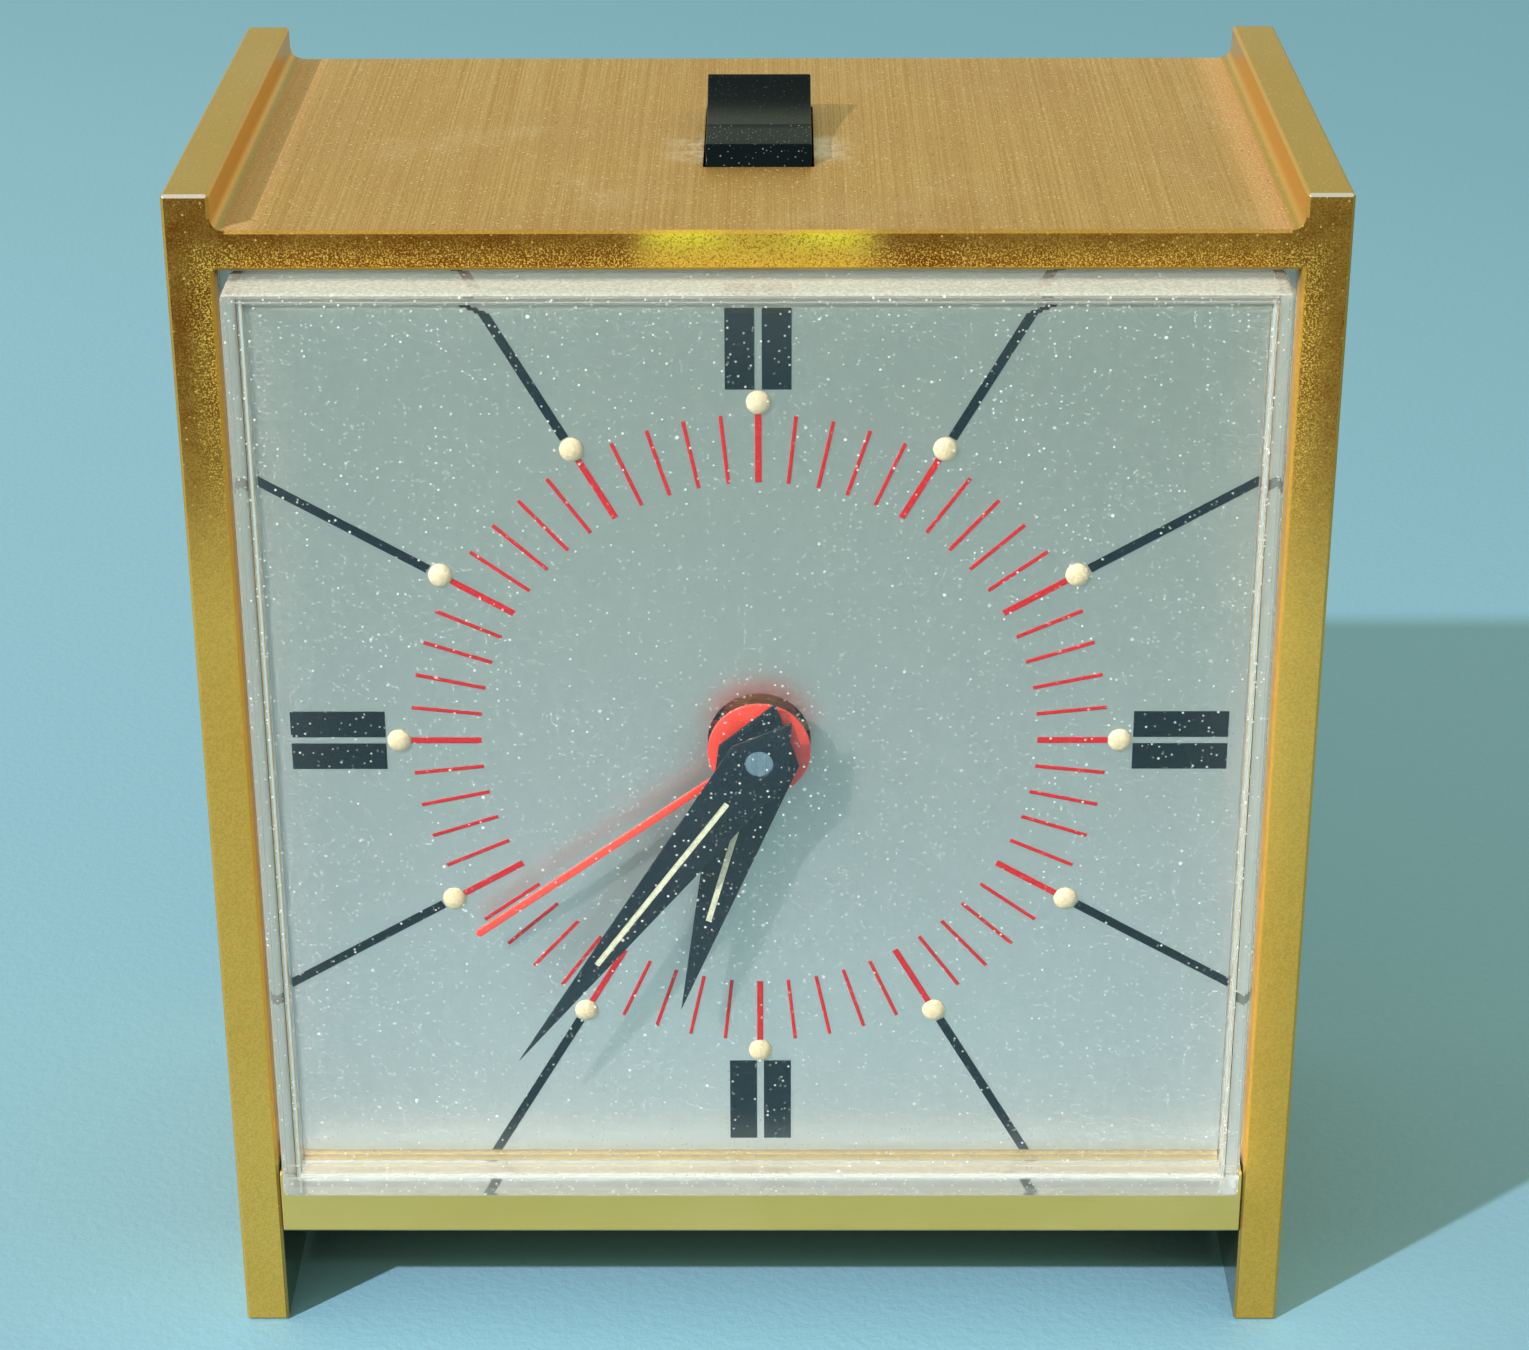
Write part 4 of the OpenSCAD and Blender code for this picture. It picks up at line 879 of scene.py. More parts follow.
@dataclass(frozen=True)
class DustFilm(Finish):
    """Specks and a faint haze on clear acrylic, with nothing between them.

    The lines are where the crystal's inner edges catch the light: each is given by its distance
    from an outer edge and its half width.
    """

    haze: float = 0.01
    ledge: float = 0.7
    beneath: float = 1.0
    flank: float = 0.3
    border: float = 0.3
    foot: float = 0.22
    line: float = 0.5
    top_line: Pair = (0.6, 0.05)
    side_line: Pair = (1.65, 0.08)
    foot_lines: tuple[Pair, ...] = ((3.3, 0.1), (2.0, 0.12))

    def wire(self, g: Graph) -> Socket:
        """Wires the film's cover: thick on the upper ledge, thin in the middle of the pane.

        Args:
            g: The material's graph.

        Returns:
            The shader's socket.
        """
        x, y, z = g.spot()
        turn, _, rise = g.split(g.normal())
        side = g.less(CRYSTAL_HALF, g.size(x))
        above, below = g.less(CRYSTAL_HIGH, z), g.less(z, CRYSTAL_LOW)
        inside = g.maths("MINIMUM", side, g.maths("MINIMUM", above, below))
        rim = g.ramp(inside, 9, 0)
        spread = g.most(g.lerp(rim, 0.3, 0.8), g.times(g.cloud(PANE_DRIFT), 0.8))
        specks = g.most(g.spots(PANE_SMALL), g.spots(PANE_LARGE),
                        g.times(g.spots(PANE_FINE), spread))
        mist = g.times(g.lerp(rim, 0.4, 3.0), self.haze)
        settled = g.times(g.ramp(below, 10, 1.5), g.cloud(PANE_FOOT), self.foot)
        edge = g.times(g.ramp(g.maths("MINIMUM", side, below), 1.5, 0.9), self.border)
        cover = g.most(g.times(specks, 0.95), mist, settled, edge)
        held = g.ramp(inside, 0.3, 0.5, 0.0, self.line)
        for away, lines in ((above, (self.top_line,)), (side, (self.side_line,)),
                            (below, self.foot_lines)):
            for inset, half in lines:
                line = g.band(away, inset - half, inset + half, 0.05)
                cover = g.most(cover, g.times(line, held))
        behind = g.most(g.times(g.ramp(rise, *LEANING_DOWN), self.beneath),
                        g.times(g.ramp(g.size(turn), *LEANING_ASIDE), self.flank))
        sheltered = g.ramp(y, -1.6, -0.3, 1.0, 0.25)
        ledge = g.times(g.ramp(rise, *LEANING_UP), g.cloud(LEDGE_DUST), sheltered, self.ledge)
        return g.add("BsdfPrincipled", Base_Color=g.mix(specks, self.colour, self.second),
                     Roughness=self.rough[0], Specular_IOR_Level=0.0,
                     Alpha=g.most(cover, ledge, behind)).outputs[0]


@dataclass(frozen=True)
class FloorBlue(Finish):
    """Plain pale blue paper, with the faint mottling of its surface.

    It carries painted light: darker far off as a painted falloff of the lamp's light, dark under
    the clock as a painted shadow, and paler before it as painted bounce light. Each pair gives the
    millimetres at which one of these starts and is whole.
    """

    far_falloff: Colour = paint(106, 160, 183)
    near: Colour = paint(146, 199, 218)
    under: Colour = paint(20, 44, 46)
    far_reach: Pair = (142.75, 572.75)
    under_side: Pair = (43, 41)
    under_front: Pair = (8.15, 10.35)
    under_back: Pair = (46.75, 42.75)
    near_side: Pair = (80, 25)
    near_front: Pair = (-107.25, -17.25)
    near_back: Pair = (18.75, 0.75)
    slant: float = 0.7
    relief: float = 0.6

    def wire(self, g: Graph) -> Socket:
        """Wires the paper.

        Args:
            g: The material's graph.

        Returns:
            The shader's socket.
        """
        x, y, _ = g.spot()
        side = g.size(x)
        mottle = g.cloud(PAPER)
        # Painted falloff of the lamp's light: darker far off to the right and back.
        beyond = g.maths("ADD", g.times(x, self.slant), y)
        # Painted shadow under the clock.
        under = g.times(g.ramp(side, *self.under_side), g.ramp(y, *self.under_front),
                        g.ramp(y, *self.under_back), 0.8)
        # Painted bounce light on the floor before the clock.
        before = g.times(g.ramp(side, *self.near_side), g.ramp(y, *self.near_front),
                         g.ramp(y, *self.near_back))
        colour = g.over(self.colour, (g.times(mottle, 0.4), self.second),
                        (g.times(g.cloud(FLOOR_DRIFT), 0.35), self.second),
                        (g.ramp(beyond, *self.far_reach, 0.0, 0.8), self.far_falloff),
                        (under, self.under), (before, self.near))
        bump = g.add("Bump", Strength=self.relief, Distance=self.grain_depth * MM, Height=mottle)
        return g.add("BsdfPrincipled", Base_Color=colour, Roughness=self.rough[0],
                     Normal=bump.outputs[0]).outputs[0]

GOLD = FrameGold("frame_gold", paint(216, 174, 82), paint(206, 160, 66), (0.3, 0.4), metallic=0.6,
                 specular=0.2, edge=paint(250, 228, 160), edge_radius=0.1, edge_gain=0.6,
                 grain_depth=0.006, patch_scale=22.0)
PLATE_GOLD = Finish("plate_gold", paint(220, 188, 106), paint(213, 180, 94), (0.28, 0.3),
                    metallic=0.6, grain=Grain.ALONG_X, grain_depth=0.0004, grain_shade=0.01,
                    edge=paint(250, 228, 160), dust=0.06)
CLEAR = Acrylic("clear_acrylic", (0.985, 0.99, 0.985), (1.0, 1.0, 1.0), (0.0, 0.0),
                grain_scale=60.0, grain_depth=0.0008)
FILM = DustFilm("crystal_dust", paint(228, 224, 206), paint(255, 253, 246), (0.9, 0.9))
DIAL_SILVER = DialSilver("dial_silver", paint(199, 204, 197), paint(194, 200, 193), (0.34, 0.4),
                         metallic=0.72, grain_scale=5200.0, grain_depth=0.003, patch_scale=25.0,
                         dust=0.02)
BLACK_INK = Finish("black_print", paint(0, 8, 11), paint(0, 12, 15), (0.45, 0.6), specular=0.0,
                   grain_depth=0.003, dust=0.0)
RED_INK = Finish("red_print", paint(198, 10, 12), paint(186, 8, 10), (0.5, 0.6), specular=0.0,
                 grain_depth=0.003, dust=0.0)
CREAM_LUME = Finish("cream_lume", paint(222, 206, 162), paint(214, 196, 146), (0.6, 0.8),
                    grain_depth=0.02, grain_scale=1800.0, grain_shade=0.06, dust=0.1)
HAND_LUME = Finish("hand_lume", paint(222, 222, 184), paint(206, 206, 164), (0.6, 0.8),
                   grain_depth=0.01, dust=0.1)
RED_LACQUER = Finish("red_lacquer", paint(238, 60, 20), paint(228, 50, 16), (0.35, 0.45), coat=0.3,
                     grain_depth=0.003, grain_shade=0.04, edge=paint(255, 150, 120), dust=0.08)
BLACK_LACQUER = Finish("black_lacquer", paint(5, 14, 20), paint(9, 20, 27), (0.3, 0.42),
                       specular=0.15, grain_depth=0.002, edge=paint(120, 132, 132),
                       edge_radius=0.05, edge_gain=1.2, dust=0.02)
BRASS = Finish("brass", paint(226, 190, 108), paint(204, 160, 84), (0.22, 0.34), metallic=1.0,
               grain=Grain.ALONG_X, grain_depth=0.002, grain_shade=0.06, edge=paint(248, 226, 160),
               dust=0.0)
STEEL = Finish("steel", paint(200, 202, 204), paint(178, 180, 184), (0.2, 0.34), metallic=1.0,
               grain=Grain.ALONG_Z, grain_depth=0.002, grain_shade=0.08, edge=paint(235, 236, 238),
               dust=0.0)
BLUED_STEEL = Finish("blued_steel", paint(52, 74, 140), paint(38, 52, 110), (0.2, 0.3),
                     metallic=1.0, grain_depth=0.001, edge=paint(120, 140, 190), dust=0.0)
BLACK_CASE = Finish("black_case", paint(24, 25, 27), paint(29, 30, 32), (0.5, 0.66),
                    specular=0.35, grain_scale=3200.0, grain_depth=0.02, grain_shade=0.08,
                    edge=paint(86, 86, 86), edge_radius=0.2, edge_gain=0.9, dust=0.03)
BLACK_GLOSS = Finish("black_gloss", paint(14, 16, 17), paint(18, 21, 21), (0.16, 0.24),
                     specular=0.25, grain_depth=0.001, edge=paint(60, 66, 66), edge_gain=0.6,
                     dust=0.03)
KEY_BLACK = KeyBlack("key_black", paint(7, 16, 18), paint(11, 21, 23), (0.1, 0.16), specular=0.05,
                     edge=paint(84, 92, 90), edge_radius=0.1, edge_gain=0.8, dust=0.6)
WHITE_NYLON = Finish("white_nylon", paint(226, 222, 208), paint(214, 209, 194), (0.45, 0.6),
                     grain_depth=0.006, grain_shade=0.04, dust=0.05)
MAGNET = Finish("magnet", paint(84, 84, 88), paint(70, 70, 74), (0.3, 0.45), metallic=1.0,
                grain_depth=0.003, edge=paint(150, 150, 152), dust=0.0)
COPPER = Finish("copper_coil", paint(196, 112, 62), paint(170, 88, 46), (0.25, 0.35), metallic=1.0,
                coat=0.5, grain_depth=0.004, dust=0.0)
BOARD_GREEN = Finish("circuit_green", paint(42, 92, 54), paint(52, 106, 62), (0.35, 0.5), coat=0.3,
                     grain=Grain.ALONG_X, grain_depth=0.004, dust=0.05)
PART_GREY = Finish("component_grey", paint(150, 152, 156), paint(132, 134, 140), (0.25, 0.4),
                   metallic=0.8, grain_depth=0.003, edge=paint(200, 200, 204), dust=0.0)
JACKET = Banded("battery_jacket", paint(150, 40, 32), paint(140, 36, 30), (0.3, 0.4), coat=0.4,
                grain_depth=0.002, dust=0.03, start=-25.0, bands=((0.0, 36.0), (38.5, 40.0)),
                band_colours=(paint(28, 30, 34), paint(206, 170, 88)))
SLEEVE_BLUE = Finish("capacitor_blue", paint(24, 58, 120), paint(20, 50, 106), (0.3, 0.4), coat=0.3,
                     grain_depth=0.002, dust=0.02)
RESISTOR = Banded("resistor_body", paint(196, 172, 130), paint(186, 160, 118), (0.4, 0.5),
                  grain_depth=0.003, dust=0.0, start=-16.0,
                  bands=((0.7, 1.2), (1.9, 2.4), (2.9, 3.4), (4.6, 5.0)),
                  band_colours=(paint(92, 52, 28), paint(20, 20, 20), paint(180, 44, 30),
                                paint(190, 150, 70)))
FLOOR = FloorBlue("floor_blue", paint(133, 178, 197), paint(127, 173, 193), (0.6, 0.6),
                  grain_depth=0.05)


# ---------------------------------------------------------------------------------------------
# Meshes
# ---------------------------------------------------------------------------------------------


class Shape:
    """A bmesh being shaped, in metres of the shared frame."""

    merge: float = 1e-7
    square_on: float = 0.9
    edge_on: float = 0.1

    def __init__(self) -> None:
        """Starts with an empty mesh."""
        self.bm = bmesh.new()

    def block(self, low: Vector, high: Vector) -> None:
        """Adds a box between its lowest and its highest corner.

        Args:
            low: Its lowest corner.
            high: Its highest corner.
        """
        made = bmesh.ops.create_cube(self.bm, size=1.0)["verts"]
        bmesh.ops.scale(self.bm, vec=high - low, verts=made)
        bmesh.ops.translate(self.bm, vec=(low + high) / 2, verts=made)

    def faces(self, test: Callable[[bmesh.types.BMFace], bool]) -> list[bmesh.types.BMFace]:
        """Gives the faces that pass a test."""
        self.bm.normal_update()
        return [f for f in self.bm.faces if test(f)]

    def edges(self, test: Callable[[bmesh.types.BMEdge], bool]) -> list[bmesh.types.BMEdge]:
        """Gives the edges that pass a test."""
        self.bm.normal_update()
        return [e for e in self.bm.edges if test(e)]

    def back(self) -> list[bmesh.types.BMFace]:
        """Gives the faces that look straight back."""
        return self.faces(lambda f: f.normal.y > self.square_on)

    def ball(self, radius: float, steps: int) -> list[bmesh.types.BMVert]:
        """Adds a sphere of a radius in millimetres at the origin, and gives its vertices."""
        return bmesh.ops.create_uvsphere(self.bm, u_segments=2 * steps, v_segments=steps,
                                         radius=radius * MM)["verts"]

    def bevel(self, edges: Iterable[bmesh.types.BMEdge], width: float, segments: int) -> None:
        """Rounds edges to a width in millimetres.

        Args:
            edges: The edges.
            width: The rounding's width in millimetres.
            segments: The rounding's steps.
        """
        bmesh.ops.bevel(self.bm, geom=list(edges), offset=width * MM, offset_type="OFFSET",
                        segments=segments, profile=0.5, affect="EDGES", clamp_overlap=True,
                        material=-1)

    def push(self, faces: list[bmesh.types.BMFace], shift: Vector) -> list[bmesh.types.BMVert]:
        """Extrudes faces as one region and moves them.

        Args:
            faces: The faces to extrude.
            shift: How far they move.

        Returns:
            The vertices that moved.
        """
        made = bmesh.ops.extrude_face_region(self.bm, geom=faces)["geom"]
        bmesh.ops.delete(self.bm, geom=faces, context="FACES")
        verts = [v for v in made if isinstance(v, bmesh.types.BMVert)]
        bmesh.ops.translate(self.bm, vec=shift, verts=verts)
        return verts

    def turned(self, profile: Iterable[Pair], origin: Vector, axis: Vector,
               steps: int = 64) -> None:
        """Adds a turned form.

        Args:
            profile: Its outline in pairs of millimetres, along the axis and away from it.
            origin: Where the outline starts on the axis.
            axis: The axis.
            steps: How many steps go round.
        """
        side = axis.orthogonal().normalized()
        verts = [self.bm.verts.new(origin + axis * (a * MM) + side * (r * MM)) for a, r in profile]
        edges = [self.bm.edges.new(pair) for pair in zip(verts, verts[1:])]
        bmesh.ops.spin(self.bm, geom=verts + edges, cent=origin, axis=axis, angle=math.tau,
                       steps=steps, use_merge=True)

    def rod(self, start: Vector, end: Vector, radius: float, segments: int = 16) -> None:
        """Adds a round rod between two points, its radius in millimetres.

        Args:
            start: Its one end.
            end: Its other end.
            radius: Its radius in millimetres.
            segments: How many steps go round.
        """
        along = end - start
        turn = along.to_track_quat("Z", "Y").to_matrix().to_4x4()
        bmesh.ops.create_cone(self.bm, cap_ends=True, segments=segments, radius1=radius * MM,
                              radius2=radius * MM, depth=along.length,
                              matrix=Matrix.Translation((start + end) / 2) @ turn)

    def finish(self, name: str, smooth: bool = False, sharp: float = 35.0) -> bpy.types.Object:
        """Cleans the mesh and puts it in the scene.

        Args:
            name: The piece's name.
            smooth: Whether curved faces are shaded as one.
            sharp: The angle in degrees from which an edge stays sharp.

        Returns:
            The piece's object.
        """
        bmesh.ops.remove_doubles(self.bm, verts=self.bm.verts, dist=self.merge)
        bmesh.ops.recalc_face_normals(self.bm, faces=self.bm.faces)
        for face in self.bm.faces:
            face.smooth = smooth
        for edge in self.bm.edges:
            edge.smooth = edge.calc_face_angle(0.0) < math.radians(sharp)
        mesh = bpy.data.meshes.new(name)
        self.bm.to_mesh(mesh)
        self.bm.free()
        piece = bpy.data.objects.new(name, mesh)
        bpy.context.scene.collection.objects.link(piece)
        return piece


def softened(name: str, node: str, width: float, segments: int = 2, angle: float = 40.0,
             smooth: bool = True) -> bpy.types.Object:
    """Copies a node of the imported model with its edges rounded.

    Args:
        name: The new piece's name.
        node: The node that is copied.
        width: The width of the rounding in millimetres.
        segments: The rounding's steps.
        angle: The angle in degrees from which an edge is rounded.
        smooth: Whether curved faces are shaded as one.

    Returns:
        The piece's object.
    """
    shape = Shape()
    shape.bm.from_mesh(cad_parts[node].data)
    bmesh.ops.remove_doubles(shape.bm, verts=shape.bm.verts, dist=WELD)
    bmesh.ops.dissolve_limit(shape.bm, angle_limit=math.radians(FLAT), verts=shape.bm.verts,
                             edges=shape.bm.edges)
    sharp = shape.edges(lambda e: e.calc_face_angle(0.0) > math.radians(angle))
    shape.bevel(sharp, width, segments)
    return shape.finish(name, smooth)


def lathe(name: str, outline: Iterable[Pair], axis: Vector, *origins: Vector, steps: int = 64,
          sharp: float = 35.0) -> bpy.types.Object:
    """Makes a turned piece, at one place or several.

    Args:
        name: The piece's name.
        outline: Its outline in pairs of millimetres, along the axis and away from it.
        axis: The axis.
        *origins: Where the outline starts on the axis, for each place.
        steps: How many steps go round.
        sharp: The angle in degrees from which an edge stays sharp.

    Returns:
        The piece's object.
    """
    shape = Shape()
    for origin in origins:
        shape.turned(outline, origin, axis, steps)
    return shape.finish(name, smooth=True, sharp=sharp)


@dataclass
class Assembly:
    """A sub-assembly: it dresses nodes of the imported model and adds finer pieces."""

    body: str = "clock"

    def dress(self, finish: Finish, *nodes: str) -> None:
        """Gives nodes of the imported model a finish.

        Args:
            finish: The finish.
            *nodes: The nodes' names.
        """
        for node in nodes:
            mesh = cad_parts[node].data
            mesh.materials.clear()
            mesh.materials.append(finish.material())
            log.info("dressed %s in %s", node, finish.name)

    def set_piece(self, piece: bpy.types.Object, finish: Finish, slot: str, *nodes: str,
                  body: str | None = None) -> bpy.types.Object:
        """Finishes a new piece and ties it to its body.

        Args:
            piece: The piece.
            finish: Its finish.
            slot: The record's material slot; not used.
            *nodes: The nodes that it stands for.
            body: The body it moves with, if it isn't the assembly's own.

        Returns:
            The piece.
        """
        piece.data.materials.append(finish.material())
        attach(piece, body or self.body)
        if nodes:
            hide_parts(*nodes)
        log.info("made %s in %s", piece.name, finish.name)
        return piece


# ---------------------------------------------------------------------------------------------
# Sub-assemblies
# ---------------------------------------------------------------------------------------------


@dataclass
class CaseFrame(Assembly):
    """The gold frame and the bar between its feet."""

    def build(self) -> None:
        """Dresses the frame, the bottom plate and the screws that hold them."""
        self.dress(GOLD, "case_frame")
        self.dress(PLATE_GOLD, "bottom_plate")
        self.dress(STEEL, "frame_screws", "base_screws")


@dataclass
class Crystal(Assembly):
    """The clear box over the dial, with a flange round its back edge."""

    half: float = CRYSTAL_HALF
    low: float = CRYSTAL_LOW
    high: float = CRYSTAL_HIGH
    front: float = -4.5
    back: float = 2.3
    pane: float = 1.8
    wall: float = 1.0
    flange: float = 1.0
    flange_half: float = 42.25
    flange_low: float = 15.8
    flange_high: float = 98.7
    outer_round: float = 0.5
    inner_round: float = 0.9
    film_gap: float = 0.01
    film_back: float = 1.2
    nearly: float = 0.999
    corner: float = 1.0

    def box(self) -> bpy.types.Object:
        """Makes the hollow box and its flange.

        Returns:
            The piece's object.
        """
        shape = Shape()
        shape.block(at(-self.half, self.front, self.low), at(self.half, self.back, self.high))
        back = shape.back()
        bmesh.ops.inset_region(shape.bm, faces=back, thickness=self.wall * MM, use_even_offset=True)
        shape.push(back, Vector((0, self.front + self.pane - self.back, 0)) * MM)
        cut = at(0, self.back - self.flange, 0)
        everything = shape.bm.verts[:] + shape.bm.edges[:] + shape.bm.faces[:]
        bmesh.ops.bisect_plane(shape.bm, geom=everything, plane_co=cut, plane_no=BACK)
        centre = at(0, self.back - self.flange / 2, (self.low + self.high) / 2)
        reach = Vector((self.half, 0, (self.high - self.low) / 2)) * (MM * self.nearly)
        rim = shape.faces(lambda f: abs(f.normal.y) < shape.edge_on
                          and f.calc_center_median().y > cut.y
                          and (abs(f.calc_center_median().x) > reach.x
                               or abs(f.calc_center_median().z - centre.z) > reach.z))
        grown = shape.push(rim, Vector())
        ratio = Vector((self.flange_half / self.half, 1.0,
                        (self.flange_high - self.flange_low) / (self.high - self.low)))
        bmesh.ops.scale(shape.bm, vec=ratio, space=Matrix.Translation(-centre), verts=grown)
        face, inner = at(0, self.front, 0).y, at(0, self.front + self.pane, 0).y
        tiny = 1e-5

        def outer_edge(e: bmesh.types.BMEdge) -> bool:
            """Tells the front outline and the corners behind it.

            Args:
                e: The edge.

            Returns:
                Whether the edge is one of them.
            """
            ends = [v.co for v in e.verts]
            if all(abs(p.y - face) < tiny for p in ends):
                return e.calc_face_angle(0.0) > self.corner
            return (all(abs(p.x) > reach.x and abs(p.z - centre.z) > reach.z for p in ends)
                    and min(p.y for p in ends) < face + tiny)

        def inner_edge(e: bmesh.types.BMEdge) -> bool:
            """Tells the outline at the bottom of the hollow."""
            return (all(abs(v.co.y - inner) < tiny for v in e.verts)
                    and e.calc_face_angle(0.0) > self.corner)

        shape.bevel(shape.edges(outer_edge), self.outer_round, 4)
        shape.bevel(shape.edges(inner_edge), self.inner_round, 6)
        return shape.finish("crystal_box")

    def film(self) -> bpy.types.Object:
        """Makes the thin layer that carries the dust on the part that stands proud.

        Returns:
            The piece's object.
        """
        shape, off, tiny = Shape(), self.film_gap, 1e-6
        shape.block(at(-self.half - off, self.front - off, self.low - off),
                    at(self.half + off, self.film_back, self.high + off))
        bmesh.ops.delete(shape.bm, geom=shape.back(), context="FACES")
        end = at(0, self.film_back, 0).y
        shape.bevel(shape.edges(lambda e: not all(abs(v.co.y - end) < tiny for v in e.verts)),
                    self.outer_round + off, 4)
        return shape.finish("crystal_dust_film")

    def build(self) -> None:
        """Makes the crystal and the dust on it."""
        self.set_piece(self.box(), CLEAR, "clear_acrylic", "crystal")
        film = self.set_piece(self.film(), FILM, "clear_acrylic")
        film.visible_shadow = False


@dataclass
class Dial(Assembly):
    """The silver dial with its print and its luminous dots."""

    face: float = 2.4
    centre_z: float = DIAL_CENTRE
    ring: float = 30.0
    dot: float = 1.0
    height: float = 0.42
    bulge: float = 0.15
    uneven: float = 0.03
    seed: int = 7

    def dots(self) -> bpy.types.Object:
        """Makes the twelve drops of luminous paint, no two quite alike.

        Returns:
            The piece's object.
        """
        shape, chance = Shape(), random.Random(self.seed)
        for hour in range(12):
            angle = math.tau * hour / 12
            middle = at(self.ring * math.sin(angle), self.face,
                        self.centre_z + self.ring * math.cos(angle))
            drop = shape.ball(self.dot, 16)
            bmesh.ops.rotate(shape.bm, verts=drop, cent=(0, 0, 0),
                             matrix=Matrix.Rotation(math.pi / 2, 3, "X"))
            for vert in drop:
                flat = min(1.0, (vert.co.xz.length / (self.dot * MM)) ** 4)
                vert.co.y *= self.height / self.dot * (1 + self.bulge * (1 - flat))
            wide = 1 + chance.uniform(-self.uneven, self.uneven)
            bmesh.ops.scale(shape.bm, verts=drop, vec=(wide, 1.0, 2 - wide))
            bmesh.ops.translate(shape.bm, verts=drop, vec=middle)
            ring = [e for v in drop for e in v.link_edges]
            faces = {f for v in drop for f in v.link_faces}
            cut = bmesh.ops.bisect_plane(shape.bm, geom=list(set(drop) | set(ring) | faces),
                                         plane_co=middle, plane_no=BACK, clear_outer=True)
            edges = [e for e in cut["geom_cut"] if isinstance(e, bmesh.types.BMEdge)]
            bmesh.ops.edgeloop_fill(shape.bm, edges=edges)
        return shape.finish("luminous_dots", smooth=True, sharp=60.0)

    def build(self) -> None:
        """Dresses the dial and its print, and makes the dots."""
        self.dress(DIAL_SILVER, "dial")
        self.dress(BLACK_INK, "dial_print_black")
        self.dress(RED_INK, "dial_print_red")
        self.set_piece(self.dots(), CREAM_LUME, "cream_lume", "lume_dots")


@dataclass
class Hands(Assembly):
    """The three hands, and the arbor whose end shows in the minute hand."""

    edge: float = 0.05

    def build(self) -> None:
        """Makes the blades with softened edges and dresses what they carry."""
        for node, body, finish, slot in (
                ("minute_hand", "minutes", BLACK_LACQUER, "black_lacquer"),
                ("hour_hand", "hours", BLACK_LACQUER, "black_lacquer"),
                ("alarm_hand", "alarm", RED_LACQUER, "red_lacquer")):
            blade = softened(node + "_blade", node, self.edge, 2)
            self.set_piece(blade, finish, slot, node, body=body)
        self.dress(HAND_LUME, "hour_hand_lume", "minute_hand_lume")
        self.dress(STEEL, "minute_arbor")


@dataclass
class RockerKey(Assembly):
    """The black key in the top panel and what holds it."""

    edge: float = 0.15

    def build(self) -> None:
        """Makes the key and dresses its holder."""
        key = softened("rocker_key", "alarm_key", self.edge, 3, 50.0)
        self.set_piece(key, KEY_BLACK, "black_gloss", "alarm_key", body="key")
        self.dress(STEEL, "key_pin", "key_spring")
        self.dress(WHITE_NYLON, "key_carrier")


